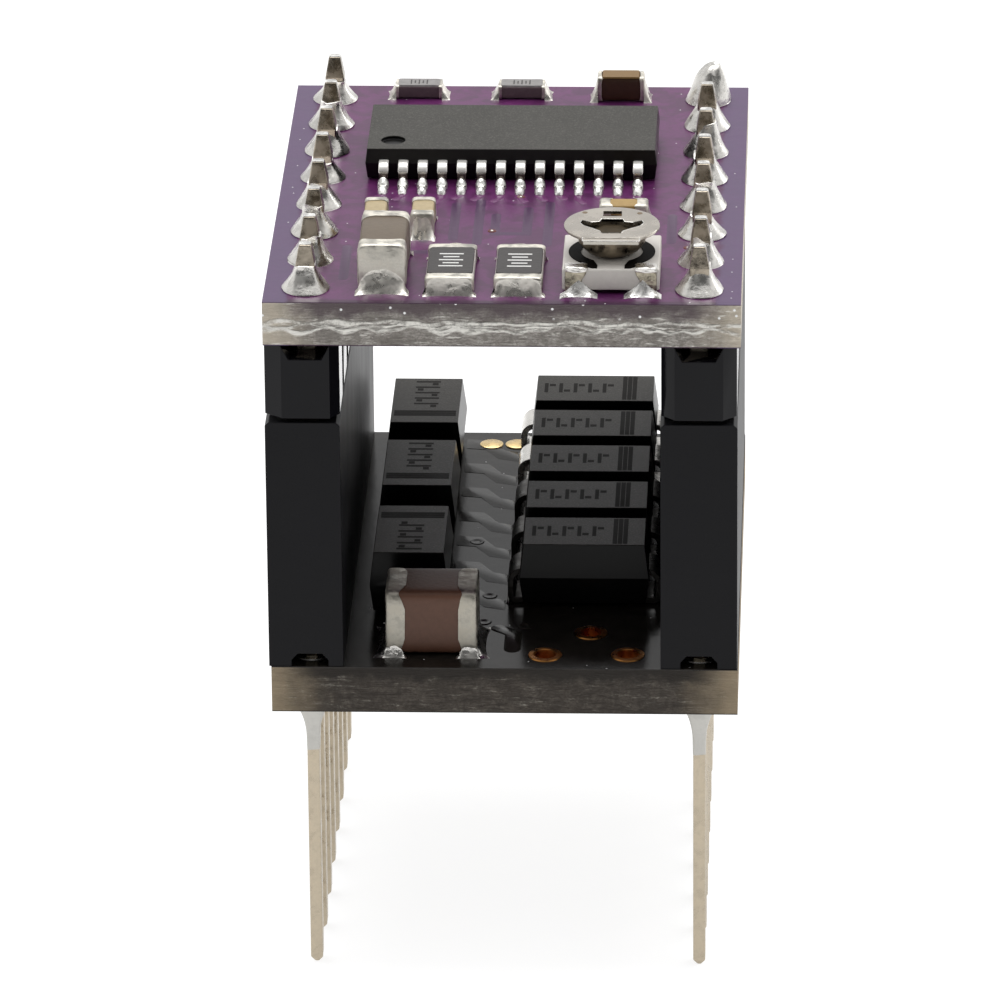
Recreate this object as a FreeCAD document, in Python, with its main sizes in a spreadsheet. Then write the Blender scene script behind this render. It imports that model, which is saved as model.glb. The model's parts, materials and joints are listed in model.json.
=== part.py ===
import FreeCAD, Part
import math
import os
import re
import Sketcher

# A stepper-motor driver carrier: a small board with its driver IC and trimmer, on two 8-way pin
# strips, plugged into the two stacking sockets of a smoother board, which carries eight Schottky
# diodes and one bulk capacitor and has long tails for the next socket down.
#
# Millimetres.  X runs across the boards, Y along the pin rows with -Y the front, +Z is up.
# The origin is on the plane of the tail tips, under the centre of both boards.

SIZES = {
    # Boards and the 2.54 mm grid that they share
    "smoother_width": 15.24,
    "driver_width": 15.4,
    "board_length": 20.32,
    "smoother_thickness": 1.6,
    "driver_thickness": 1.5,
    "row_spacing": 12.7,
    "pin_pitch": 2.54,
    "pins_per_row": 8,
    "hole_radius": 0.5,
    "plating": 0.04,
    "land_radius": 0.78,
    "wire_hole_radius": 0.36,
    "wire_land_radius": 0.56,
    "test_pad_radius": 0.4,
    # Stacking sockets and their contacts
    "socket_height": 8.6,
    "socket_width": 2.5,
    "socket_length": 20.28,
    "socket_bevel": 0.12,
    "arch_width": 1.2,
    "arch_height": 0.45,
    "entry_side": 0.9,
    "entry_depth": 1.2,
    "leadin_side": 1.4,
    "leadin_depth": 0.25,
    "chamber_across": 1.5,
    "chamber_along": 1.0,
    "contact_width": 0.8,
    "contact_sheet": 0.2,
    "contact_gap": 0.7,
    "contact_bow": 0.09,
    "contact_mouth": 0.17,
    "contact_foot": 0.5,
    "contact_nip_height": 6.36,
    "contact_mouth_height": 7.22,
    "tail_length": 9.55,
    "tail_across": 0.4,
    "tail_along": 0.64,
    "tail_tip": 0.2,
    "tail_solder_length": 1.75,
    "tail_solder_width": 1.18,
    "tail_solder_neck": 0.12,
    "tail_solder_coat": 0.03,
    # Male pin strips
    "seating_gap": 0.15,
    "strip_height": 2.54,
    "strip_width": 2.45,
    "strip_notch": 0.45,
    "channel_width": 1.6,
    "channel_depth": 0.5,
    "pin_side": 0.64,
    "pin_below_strip": 6.0,
    "pin_above_board": 1.55,
    "pin_tip": 0.7,
    "pin_solder_radius": 0.78,
    "pin_solder_height": 0.85,
    "pin_solder_crown": 0.1,
    "pin_solder_coat": 0.1,
    "pin_solder_hollow": 0.4,
    # Schottky diodes in SMA cases
    "diode_length": 4.3,
    "diode_width": 2.6,
    "diode_height": 2.3,
    "diode_parting": 1.15,
    "diode_standoff": 0.22,
    "diode_span": 5.1,
    "diode_lead_width": 1.45,
    "diode_lead_sheet": 0.2,
    "diode_lead_fold": 1.1,
    "diode_solder_height": 0.4,
    "diode_solder_reach": 0.15,
    "diode_solder_beside_socket": 0.07,
    "diode_pitch": 3.175,
    "diode_die_side": 1.1,
    "diode_die_height": 0.3,
    # Driver IC in a thermally enhanced 28-lead shrink package
    "ic_x": -0.08,
    "ic_y": 3.2,
    "ic_length": 9.7,
    "ic_width": 4.4,
    "ic_height": 1.1,
    "ic_parting": 0.6,
    "ic_standoff": 0.06,
    "ic_lead_span": 6.4,
    "ic_lead_pitch": 0.65,
    "ic_leads_per_side": 14,
    "ic_lead_width": 0.3,
    "ic_lead_root": 0.3,
    "ic_lead_slope": 0.16,
    "ic_lead_bend": 0.2,
    "ic_lead_inner_bend": 0.06,
    "ic_lead_sheet": 0.15,
    "ic_foot": 0.5,
    "ic_dimple_radius": 0.4,
    "ic_dimple_depth": 0.12,
    "ic_dimple_inset": 0.9,
    "ic_pad_length": 5.2,
    "ic_pad_width": 3.1,
    "ic_pad_height": 0.2,
    "ic_die_side": 2.6,
    "ic_die_height": 0.3,
    # Trimmer potentiometer
    "trimmer_x": 3.5,
    "trimmer_y": -7.7,
    "trimmer_side": 3.14,
    "trimmer_base_height": 0.85,
    "trimmer_bore": 0.4,
    "terminal_width": 0.72,
    "terminal_centre": 1.11,
    "terminal_sheet": 0.12,
    "terminal_wrap": 0.45,
    "terminal_flare": 0.16,
    "terminal_proud": 0.03,
    "trimmer_solder_reach": 0.45,
    "track_outer": 1.38,
    "track_inner": 0.9,
    "track_height": 0.02,
    "rotor_radius": 1.55,
    "rotor_top": 1.82,
    "rotor_sheet": 0.15,
    "rotor_hub_radius": 0.72,
    "rotor_hub_sheet": 0.12,
    "rotor_bore": 0.4,
    "rotor_running_gap": 0.05,
    "rotor_flat": 1.27,
    "lip_width": 1.9,
    "lip_depth": 0.3,
    "driver_slot_length": 2.04,
    "driver_slot_boss": 0.76,
    "driver_slot_front": 0.78,
    "driver_slot_back": 0.45,
    "rotor_window_width": 0.6,
    "rotor_window_depth": 0.44,
    "rotor_window_y": 0.96,
    "wiper_sheet": 0.08,
    "wiper_clearance": 0.015,
    "wiper_width": 0.5,
    "pivot_radius": 0.34,
    "pivot_head_radius": 0.52,
    "pivot_head_height": 0.12,
    # Ends of chip parts
    "cap_sheet": 0.04,
    "core_rounding": 0.04,
    "fillet_hollow": 0.12,
    "copper": 0.05,
}

document = FreeCAD.newDocument("StepperDriverStack")
sheet = document.addObject("Spreadsheet::Sheet", "Sizes")
for row, (alias, size) in enumerate(SIZES.items(), start=1):
    sheet.set(f"A{row}", alias)
    sheet.set(f"B{row}", str(size))
    sheet.setAlias(f"B{row}", alias)
document.recompute()

# Heights of the stack, from the tail tips up
SMOOTHER_TOP = "(tail_length + smoother_thickness)"
STRIP_BOTTOM = f"({SMOOTHER_TOP} + socket_height + seating_gap)"
DRIVER_BOTTOM = f"({STRIP_BOTTOM} + strip_height)"
DRIVER_TOP = f"({DRIVER_BOTTOM} + driver_thickness)"

# The rows of pins, across the boards, and the first pin of a row, along them
ROWS = {"left": "-row_spacing / 2", "right": "row_spacing / 2"}
ROW_LENGTH = "((pins_per_row - 1) * pin_pitch)"
FIRST_PIN = f"(-{ROW_LENGTH} / 2)"

DRAFT = -7          # degrees by which moulded sides lean in
TIP_TAPER = -10     # degrees by which the sides of a pin's tip lean in
subparts = []


def linked(text):
    """Point every cell name in an expression at the sheet."""
    return re.sub(r"[a-z_]+", lambda word: f"Sizes.{word[0]}" if word[0] in SIZES else word[0], text)


def number(text):
    """The value of an expression of cell names."""
    return float(sheet.evalExpression(text))


def bind(feature, **sizes):
    """Bind properties of a feature to expressions of cell names."""
    for name, text in sizes.items():
        feature.setExpression(name, linked(text))


def place(piece, x="0", y="0", z="0", turn=0):
    """Stand a piece at x, y, z, turned about +Z by `turn` degrees."""
    piece.Placement.Rotation = FreeCAD.Rotation(FreeCAD.Vector(0, 0, 1), turn)
    for axis, text in zip("xyz", (x, y, z)):
        piece.setExpression(f"Placement.Base.{axis}", linked(text))
    return piece


def keep(label, piece):
    """Name a finished sub-part and list it for export."""
    piece.Label = label
    subparts.append(piece)
    return piece


def corner_arc(corner, before, after, radius):
    """The arc that rounds a corner, and whether it is drawn from `before` to `after`."""
    towards_before = (before - corner).normalize()
    towards_after = (after - corner).normalize()
    half = towards_before.getAngle(towards_after) / 2
    inward = (towards_before + towards_after).normalize()
    centre = corner + inward * (radius / math.sin(half))
    start = corner + towards_before * (radius / math.tan(half)) - centre
    end = corner + towards_after * (radius / math.tan(half)) - centre
    forward = start.cross(end).z > 0
    first, last = (start, end) if forward else (end, start)
    circle = Part.Circle(centre, FreeCAD.Vector(0, 0, 1), radius)
    first_angle = math.atan2(first.y, first.x)
    last_angle = math.atan2(last.y, last.x)
    return Part.ArcOfCircle(circle, first_angle, last_angle), forward


class Solid:
    """A PartDesign body and the features that shape it."""

    def __init__(self, name):
        self.body = document.addObject("PartDesign::Body", name)
        self.body.AllowCompound = True

    def origin(self, role):
        return next(item for item in self.body.Origin.OriginFeatures if item.Role == role)

    def sketch(self, plane, outline=(), circles=(), offset="0"):
        """A sketch on an origin plane.

        A corner of the outline is (x, y), or (x, y, radius) where it is rounded; a circle is
        (x, y, radius).
        """
        drawing = self.body.newObject("Sketcher::SketchObject", f"{self.body.Name}_sketch")
        drawing.AttachmentSupport = [(self.origin(plane), "")]
        drawing.MapMode = "FlatFace"
        bind(drawing, **{"AttachmentOffset.Base.z": offset})
        if outline:
            self.draw_outline(drawing, outline)
        for x, y, radius in circles:
            centre = FreeCAD.Vector(number(x), number(y))
            shape = Part.Circle(centre, FreeCAD.Vector(0, 0, 1), number(radius))
            circle = drawing.addGeometry(shape)
            self.fix_point(drawing, circle, 3, x, y)
            self.fix_radius(drawing, circle, radius)
        return drawing

    def fix_point(self, drawing, geometry, vertex, x, y):
        """Hold one point of a sketch at bound coordinates."""
        for kind, text in (("DistanceX", x), ("DistanceY", y)):
            rule = Sketcher.Constraint(kind, -1, 1, geometry, vertex, number(text))
            index = drawing.addConstraint(rule)
            drawing.setExpression(f"Constraints[{index}]", linked(text))

    def fix_radius(self, drawing, geometry, radius):
        index = drawing.addConstraint(Sketcher.Constraint("Radius", geometry, number(radius)))
        drawing.setExpression(f"Constraints[{index}]", linked(radius))

    def draw_outline(self, drawing, corners):
        """A closed outline of straight sides, with arcs at its rounded corners."""
        points = [FreeCAD.Vector(number(corner[0]), number(corner[1])) for corner in corners]
        count = len(points)
        arcs = {}
        for i, corner in enumerate(corners):
            if len(corner) == 3:
                arcs[i] = corner_arc(points[i], points[i - 1], points[(i + 1) % count], number(corner[2]))
        sides = []
        for i in range(count):
            start, end = points[i], points[(i + 1) % count]
            if i in arcs:
                start = arcs[i][0].EndPoint if arcs[i][1] else arcs[i][0].StartPoint
            if (i + 1) % count in arcs:
                arc, forward = arcs[(i + 1) % count]
                end = arc.StartPoint if forward else arc.EndPoint
            sides.append(drawing.addGeometry(Part.LineSegment(start, end)))
        for i, corner in enumerate(corners):
            before, after = sides[i - 1], sides[i]
            if i not in arcs:
                drawing.addConstraint(Sketcher.Constraint("Coincident", before, 2, after, 1))
                self.fix_point(drawing, after, 1, corner[0], corner[1])
                continue
            arc, forward = arcs[i]
            bend = drawing.addGeometry(arc)
            first, last = (1, 2) if forward else (2, 1)
            drawing.addConstraint(Sketcher.Constraint("Tangent", before, 2, bend, first))
            drawing.addConstraint(Sketcher.Constraint("Tangent", bend, last, after, 1))
            apex = drawing.addGeometry(Part.Point(points[i]), True)
            drawing.addConstraint(Sketcher.Constraint("PointOnObject", apex, 1, before))
            drawing.addConstraint(Sketcher.Constraint("PointOnObject", apex, 1, after))
            self.fix_point(drawing, apex, 1, corner[0], corner[1])
            self.fix_radius(drawing, bend, corner[2])

    def extrude(self, kind, drawing, length, both=False, reverse=False, taper=0):
        """A Pad or Pocket; `both` spreads it to both sides of its sketch."""
        document.recompute()
        volume = self.volume()
        feature = self.body.newObject(f"PartDesign::{kind}", f"{self.body.Name}_{kind}")
        feature.Profile = drawing
        feature.Reversed = reverse
        feature.TaperAngle = taper
        if both:
            feature.SideType = "Symmetric"
        bind(feature, Length=length)
        document.recompute()
        if kind == "Pocket" and not self.volume() < volume:
            raise RuntimeError(f"{feature.Name} cuts nothing")
        return feature

    def pad(self, drawing, length, **options):
        return self.extrude("Pad", drawing, length, **options)

    def pocket(self, drawing, length, **options):
        return self.extrude("Pocket", drawing, length, **options)

    def revolve(self, drawing):
        """A full turn about the sketch's own vertical axis."""
        feature = self.body.newObject("PartDesign::Revolution", f"{self.body.Name}_turned")
        feature.Profile = drawing
        feature.ReferenceAxis = (drawing, ["V_Axis"])
        feature.Angle = 360
        return feature

    def loft(self, sections):
        feature = self.body.newObject("PartDesign::AdditiveLoft", f"{self.body.Name}_loft")
        feature.Profile = sections[0]
        feature.Sections = sections[1:]
        return feature

    def row(self, features, axis="Y_Axis", length=ROW_LENGTH, count="pins_per_row"):
        """Repeat features along an axis; `length` is from the first to the last."""
        document.recompute()
        pattern = self.body.newObject("PartDesign::LinearPattern", f"{self.body.Name}_row")
        pattern.Originals = features
        pattern.Direction = (self.origin(axis), [""])
        bind(pattern, Length=length, Occurrences=count)
        self.body.Tip = pattern
        return pattern

    def mirror(self, features, plane):
        document.recompute()
        mirrored = self.body.newObject("PartDesign::Mirrored", f"{self.body.Name}_mirrored")
        mirrored.Originals = features
        mirrored.MirrorPlane = (self.origin(plane), [""])
        self.body.Tip = mirrored
        return mirrored

    def round_edges(self, base, radius, choose=lambda edge: True):
        """Round the edges of `base` that `choose` accepts."""
        document.recompute()
        names = [f"Edge{i}" for i, edge in enumerate(base.Shape.Edges, start=1) if choose(edge)]
        fillet = self.body.newObject("PartDesign::Fillet", f"{self.body.Name}_rounded")
        fillet.Base = (base, names)
        bind(fillet, Radius=radius)
        return fillet

    def volume(self):
        return 0 if self.body.Shape.isNull() else self.body.Shape.Volume


def rectangle(width, length, x="0", y="0", radius=None):
    """Corners of a rectangle centred on x, y, with rounded corners if a radius is given."""
    corners = []
    for side_x, side_y in (("-", "-"), ("+", "-"), ("+", "+"), ("-", "+")):
        corner = (f"{x} {side_x} ({width}) / 2", f"{y} {side_y} ({length}) / 2")
        corners.append(corner + (radius,) if radius else corner)
    return corners


def mirrored_outline(half):
    """Both halves of an outline that is symmetric about its vertical axis, from its right half."""
    return half + [(f"-({x})", y) for x, y in reversed(half)]


def block(name, width, length, height, x="0", y="0", z="0"):
    """A box centred on x, y, standing on z."""
    box = document.addObject("Part::Box", name)
    bind(box, Length=width, Width=length, Height=height)
    return place(box, f"{x} - ({width}) / 2", f"{y} - ({length}) / 2", z)


def group(label, pieces):
    """Separate solids that share one node."""
    compound = document.addObject("Part::Compound", label)
    compound.Links = pieces
    return compound


def cut(name, base, tools):
    """`base` without the space that the tools take up."""
    tool = tools[0]
    if len(tools) > 1:
        tool = document.addObject("Part::MultiFuse", f"{name}_tools")
        tool.Shapes = tools
    result = document.addObject("Part::Cut", name)
    result.Base = base
    result.Tool = tool
    return result


# ---- Boards ------------------------------------------------------------------------------------

# Wire holes and test pads of the smoother board: x, y
WIRE_HOLES = [("2.75", "-7.23"), ("1.3", "-9.06"), ("4.01", "-9.01")]
TEST_PADS = [("-1.14", "9.07"), ("-0.26", "9.08")]


def board(label, width, thickness, z, wire_holes=()):
    """A glass-fibre board with its two rows of pin holes."""
    piece = Solid(label)
    piece.pad(piece.sketch("XY_Plane", rectangle(width, "board_length")), thickness)
    pin_holes = [(x, FIRST_PIN, "hole_radius") for x in ROWS.values()]
    first = piece.pocket(piece.sketch("XY_Plane", circles=pin_holes), thickness, reverse=True)
    piece.row([first])
    if wire_holes:
        circles = [(x, y, "wire_hole_radius + plating") for x, y in wire_holes]
        piece.pocket(piece.sketch("XY_Plane", circles=circles), thickness, reverse=True)
    keep(label, place(piece.body, z=z))


def plated_hole(name, hole, land, thickness):
    """A hole's copper: the barrel and the land on each face, turned about the hole's axis."""
    piece = Solid(name)
    profile = [
        (f"{hole} - plating", "-copper"),
        (land, "-copper"),
        (land, "0"),
        (hole, "0"),
        (hole, thickness),
        (land, thickness),
        (land, f"{thickness} + copper"),
        (f"{hole} - plating", f"{thickness} + copper"),
    ]
    return piece, piece.revolve(piece.sketch("XZ_Plane", profile))


def pads(label, thickness, z, wire_holes=(), test_pads=()):
    """All the plated copper of a board."""
    pieces = []
    for side, x in ROWS.items():
        piece, turned = plated_hole(f"{label}_{side}", "hole_radius", "land_radius", thickness)
        piece.row([turned])
        pieces.append(place(piece.body, x, FIRST_PIN, z))
    for i, (x, y) in enumerate(wire_holes):
        hole = "wire_hole_radius + plating"
        piece, _ = plated_hole(f"{label}_wire_{i}", hole, "wire_land_radius", thickness)
        pieces.append(place(piece.body, x, y, z))
    for i, (x, y) in enumerate(test_pads):
        disc = document.addObject("Part::Cylinder", f"{label}_test_{i}")
        bind(disc, Radius="test_pad_radius", Height="copper")
        pieces.append(place(disc, x, y, f"{z} + {thickness}"))
    keep(label, group(label, pieces))


board("smoother_pcb", "smoother_width", "smoother_thickness", "tail_length", WIRE_HOLES)
board("driver_pcb", "driver_width", "driver_thickness", DRIVER_BOTTOM)
pads("smoother_pads", "smoother_thickness", "tail_length", WIRE_HOLES, TEST_PADS)
pads("driver_pads", "driver_thickness", DRIVER_BOTTOM)


# ---- Stacking sockets --------------------------------------------------------------------------

def socket_housing(label, x):
    """A moulded body with an entry for each pin and a chamber for each contact, open below."""
    piece = Solid(label)
    end_profile = mirrored_outline([
        ("arch_width / 3", "arch_height"),
        ("arch_width / 2", "arch_height / 2"),
        ("arch_width / 2", "0"),
        ("socket_width / 2", "0"),
        ("socket_width / 2", "socket_height - socket_bevel"),
        ("socket_width / 2 - socket_bevel", "socket_height"),
    ])
    piece.pad(piece.sketch("XZ_Plane", end_profile), "socket_length", both=True)
    chamber_section = rectangle("chamber_across", "chamber_along", y=FIRST_PIN)
    entry_section = rectangle("entry_side", "entry_side", y=FIRST_PIN)
    leadin_section = rectangle("leadin_side", "leadin_side", y=FIRST_PIN)
    chamber = piece.sketch("XY_Plane", chamber_section)
    entry = piece.sketch("XY_Plane", entry_section, offset="socket_height")
    leadin = piece.sketch("XY_Plane", leadin_section, offset="socket_height")
    piece.row([
        piece.pocket(chamber, "socket_height - entry_depth", reverse=True),
        piece.pocket(entry, "entry_depth"),
        piece.pocket(leadin, "leadin_depth", taper=-45),
    ])
    return keep(label, place(piece.body, x, z=SMOOTHER_TOP))


def socket_contacts(label, x):
    """Eight forks of two leaves, each with a flat tail down through the board."""
    piece = Solid(label)
    fork = mirrored_outline([
        ("contact_gap / 2 + contact_bow", "contact_foot + contact_sheet"),
        ("contact_gap / 2 + contact_bow", "socket_height / 4"),
        ("contact_gap / 2", "contact_nip_height"),
        ("contact_gap / 2 + contact_mouth", "contact_mouth_height"),
        ("contact_gap / 2 + contact_mouth + contact_sheet", "contact_mouth_height - contact_sheet / 5"),
        ("contact_gap / 2 + contact_sheet", "contact_nip_height - contact_sheet / 2"),
        ("contact_gap / 2 + contact_bow + contact_sheet", "socket_height / 4"),
        ("contact_gap / 2 + contact_bow + contact_sheet", "contact_foot"),
    ])
    leaves = piece.pad(piece.sketch("XZ_Plane", fork), "contact_width", both=True)
    section = rectangle("tail_across", "tail_along")
    tail_end = "-(smoother_thickness + tail_length - tail_tip)"
    root = piece.sketch("XY_Plane", section, offset="contact_foot")
    tail = piece.pad(root, f"contact_foot - {tail_end}", reverse=True)
    tip = piece.pad(piece.sketch("XY_Plane", section, offset=tail_end), "tail_tip", reverse=True, taper=-35)
    piece.row([leaves, tail, tip])
    return keep(label, place(piece.body, x, FIRST_PIN, SMOOTHER_TOP))


def tail_solder(label, x, contacts):
    """Solder that runs from each land down its tail."""
    piece = Solid(f"{label}_cone")
    sections = [
        ("tail_solder_width", "tail_solder_width", "tail_solder_width * 0.45", "-copper"),
        (
            "tail_across + 2 * tail_solder_neck",
            "tail_along + 2 * tail_solder_neck",
            "tail_across / 2",
            "-tail_solder_length / 3",
        ),
        (
            "tail_across + 2 * tail_solder_coat",
            "tail_along + 2 * tail_solder_coat",
            "tail_solder_coat",
            "-tail_solder_length",
        ),
    ]
    drawings = [
        piece.sketch("XY_Plane", rectangle(across, along, radius=radius), offset=z)
        for across, along, radius, z in sections
    ]
    piece.row([piece.loft(drawings)])
    keep(label, cut(label, place(piece.body, x, FIRST_PIN, "tail_length"), [contacts]))


for side, x in ROWS.items():
    socket_housing(f"{side}_socket_housing", x)
    contacts = socket_contacts(f"{side}_socket_contacts", x)
    tail_solder(f"{side}_tail_solder", x, contacts)


# ---- Pin strips --------------------------------------------------------------------------------

def pin_strip(label, x):
    """Eight octagonal cells in a row, with a channel under the board and a hole for each pin."""
    piece = Solid(label)
    across, along, notch = "strip_width / 2", "pin_pitch / 2", "strip_notch"
    cell = []
    for side_x, side_y in ((1, -1), (1, 1), (-1, 1), (-1, -1)):
        near_x = (f"{side_x} * ({across} - {notch})", f"{FIRST_PIN} + {side_y} * {along}")
        near_y = (f"{side_x} * {across}", f"{FIRST_PIN} + {side_y} * ({along} - {notch})")
        cell += [near_x, near_y] if side_x * side_y < 0 else [near_y, near_x]
    piece.row([piece.pad(piece.sketch("XY_Plane", cell), "strip_height")])
    channel = [
        ("-channel_width / 2", "strip_height"),
        ("-channel_width / 3", "strip_height - channel_depth"),
        ("channel_width / 3", "strip_height - channel_depth"),
        ("channel_width / 2", "strip_height"),
    ]
    piece.pocket(piece.sketch("XZ_Plane", channel), "board_length", both=True)
    hole = piece.sketch("XY_Plane", rectangle("pin_side", "pin_side", y=FIRST_PIN))
    piece.row([piece.pocket(hole, "strip_height", reverse=True)])
    keep(label, place(piece.body, x, z=STRIP_BOTTOM))


def header_pins(label, x):
    """Eight square pins with tapered tips."""
    piece = Solid(label)
    section = rectangle("pin_side", "pin_side")
    top = "(strip_height + driver_thickness + pin_above_board - pin_tip)"
    bottom = "(-pin_below_strip + pin_tip)"
    shank = piece.pad(piece.sketch("XY_Plane", section, offset=bottom), f"{top} - {bottom}")
    upper_end = piece.sketch("XY_Plane", section, offset=top)
    upper_tip = piece.pad(upper_end, "pin_tip", taper=TIP_TAPER)
    lower_end = piece.sketch("XY_Plane", section, offset=bottom)
    lower_tip = piece.pad(lower_end, "pin_tip", taper=TIP_TAPER, reverse=True)
    piece.row([shank, upper_tip, lower_tip])
    return keep(label, place(piece.body, x, FIRST_PIN, STRIP_BOTTOM))


def header_solder(label, x, pins):
    """Solder that fills each plated hole and climbs its pin in a hollow cone."""
    piece = Solid(f"{label}_cone")
    profile = [
        ("0", "-driver_thickness - copper"),
        ("hole_radius - plating", "-driver_thickness - copper"),
        ("hole_radius - plating", "copper"),
        ("pin_solder_radius", "copper"),
        ("pin_side / 2 + pin_solder_coat", "copper + pin_solder_coat", "pin_solder_hollow"),
        ("pin_side / 2 + pin_solder_coat", "pin_solder_height"),
        ("0", "pin_solder_height + pin_solder_crown"),
    ]
    piece.row([piece.revolve(piece.sketch("XZ_Plane", profile))])
    keep(label, cut(label, place(piece.body, x, FIRST_PIN, DRIVER_TOP), [pins]))


for side, x in ROWS.items():
    pin_strip(f"{side}_pin_strip", x)
    pins = header_pins(f"{side}_header_pins", x)
    header_solder(f"{side}_header_solder", x, pins)


# ---- Soldered packages -------------------------------------------------------------------------

def solder_fillet(name, width, climb, reach):
    """A hollow wedge of solder against the face x = 0, spreading towards +X."""
    piece = Solid(name)
    profile = [
        ("0", "0"),
        (reach, "0"),
        (f"{reach} * 0.3", f"({climb}) * 0.3", "fillet_hollow"),
        ("0", climb),
    ]
    piece.pad(piece.sketch("XZ_Plane", profile), width, both=True)
    return piece.body


def solder_ends(name, half_length, width, climb, reaches, x, y, z, turn):
    """A fillet at each end of a part that lies along X before it is turned."""
    fillets = []
    for end, reach in zip((0, 180), reaches):
        fillet = solder_fillet(f"{name}_solder_{end}", width, climb, reach)
        angle = math.radians(turn + end)
        shift_x = f"{x} + {round(math.cos(angle))} * ({half_length})"
        shift_y = f"{y} + {round(math.sin(angle))} * ({half_length})"
        fillets.append(place(fillet, shift_x, shift_y, z, turn + end))
    return fillets


def moulding(name, length, width, bottom, parting, top):
    """A moulded package: its sides lean in above and below the parting line."""
    piece = Solid(name)
    outline = rectangle(length, width)
    upper = piece.sketch("XY_Plane", outline, offset=parting)
    piece.pad(upper, f"{top} - {parting}", taper=DRAFT)
    lower = piece.sketch("XY_Plane", outline, offset=parting)
    piece.pad(lower, f"{parting} - {bottom}", taper=DRAFT, reverse=True)
    return piece


def diode_leads(name):
    """Two sheet leads, out of the case at half height, down and folded under it."""
    piece = Solid(name)
    tab, foot, end = "diode_die_side / 2", "diode_span / 2 - diode_lead_fold", "diode_span / 2"
    upper, lower = "diode_parting + diode_lead_sheet / 2", "diode_parting - diode_lead_sheet / 2"
    profile = [
        (tab, lower),
        (f"{end} - diode_lead_sheet", lower, "0.3"),
        (f"{end} - diode_lead_sheet", "diode_lead_sheet", "0.08"),
        (foot, "diode_lead_sheet"),
        (foot, "0"),
        (end, "0", "0.28"),
        (end, upper, "0.5"),
        (tab, upper),
    ]
    lead = piece.pad(piece.sketch("XZ_Plane", profile), "diode_lead_width", both=True)
    piece.mirror([lead], "YZ_Plane")
    return piece.body


# Diodes: x, y and the turn of the cathode end from +X
RIGHT_COLUMN_X = "2.47"
LEFT_COLUMN_X = "-3.3"
DIODES = [(RIGHT_COLUMN_X, f"8.66 - {i} * diode_pitch", 0) for i in range(5)]
DIODES += [(LEFT_COLUMN_X, "7.45", 270), (LEFT_COLUMN_X, "1.85", 270), (LEFT_COLUMN_X, "-3.95", 90)]

DIODE_LEVELS = ("diode_standoff", "diode_parting", "diode_height")

smoother_solder = []
dies = []
for i, (x, y, turn) in enumerate(DIODES, start=1):
    label = f"diode_{i}"
    leads = keep(f"{label}_leads", place(diode_leads(f"{label}_leads"), x, y, SMOOTHER_TOP, turn))
    case = moulding(f"{label}_case", "diode_length", "diode_width", *DIODE_LEVELS)
    place(case.body, x, y, SMOOTHER_TOP, turn)
    die_z = f"{SMOOTHER_TOP} + diode_parting - diode_die_height / 2"
    die = block(f"{label}_die", "diode_die_side", "diode_die_side", "diode_die_height", x, y, die_z)
    dies.append(die)
    beside_socket = "diode_solder_beside_socket" if turn == 0 else "diode_solder_reach"
    reaches = (beside_socket, "diode_solder_reach")
    foot = ("diode_span / 2", "diode_lead_width", "diode_solder_height")
    smoother_solder += solder_ends(label, *foot, reaches, x, y, SMOOTHER_TOP, turn)
    keep(f"{label}_body", cut(f"{label}_body", case.body, [leads, die]))
keep("diode_dies", group("diode_dies", dies))


def chip(label, length, width, height, band, x, y, z, turn=0):
    """A chip part along X before it is turned: a fired block and the metal caps on its ends."""
    core = Solid(f"{label}_core")
    outline = rectangle(f"{length} - 2 * cap_sheet", f"{width} - 2 * cap_sheet")
    raised = core.pad(core.sketch("XY_Plane", outline, offset="cap_sheet"), f"{height} - 2 * cap_sheet")
    core.round_edges(raised, "core_rounding")
    ends = Solid(f"{label}_ends")
    middle = f"({length} - ({band})) / 2"
    section = ends.sketch("XY_Plane", rectangle(band, width, x=middle))
    end = ends.pad(section, height)
    ends.mirror([end], "YZ_Plane")
    for body in (core.body, ends.body):
        place(body, x, y, z, turn)
    caps = cut(f"{label}_caps", ends.body, [core.body])
    return core.body, caps


SMOOTHER_CHIP = ("smoother_capacitor", "3.0", "2.35", "2.3", "0.5", "-2.42", "-8.1", 0)

# Chip parts of the driver board: name, length, width, height, end band, x, y, turn
SUPPLY_CAPACITOR = ("supply_capacitor", "3.2", "1.6", "1.6", "0.5", "-3.88", "-7.55", 90)
SENSE_RESISTORS = [
    ("sense_resistor_1", "3.1", "1.6", "0.6", "0.45", "-1.7", "-7.85", 90),
    ("sense_resistor_2", "3.1", "1.6", "0.6", "0.45", "0.52", "-7.85", 90),
]
SMALL_CAPACITORS = [
    ("charge_capacitor", "1.6", "0.8", "0.85", "0.32", "-4.35", "-3.55", 90),
    ("pump_capacitor", "1.6", "0.8", "0.85", "0.32", "-2.8", "-3.5", 90),
    ("reference_capacitor", "1.6", "0.8", "0.85", "0.38", "3.77", "-3.05", 0),
]
BACK_RESISTORS = [
    ("pull_resistor_1", "1.6", "0.8", "0.5", "0.3", "-3.5", "9.2", 0),
    ("pull_resistor_2", "1.6", "0.8", "0.5", "0.3", "0", "9.2", 0),
]
BACK_CAPACITOR = ("logic_capacitor", "1.6", "0.8", "0.9", "0.35", "3.38", "9.0", 0)


def chips(parts, z):
    """Cores, end caps and solder of several chip parts."""
    cores, ends, solder = [], [], []
    for label, length, width, height, band, x, y, turn in parts:
        core, caps = chip(label, length, width, height, band, x, y, z, turn)
        cores.append(core)
        ends.append(caps)
        reach = f"{width} / 4"
        foot = (f"{length} / 2", f"{width} * 0.95", f"{height} * 0.45")
        solder += solder_ends(label, *foot, (reach, reach), x, y, z, turn)
    return cores, ends, solder


cores, ends, solder = chips([SMOOTHER_CHIP], SMOOTHER_TOP)
keep("smoother_capacitor_body", cores[0])
keep("smoother_capacitor_terminations", ends[0])
keep("smoother_solder", group("smoother_solder", smoother_solder + solder))

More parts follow.
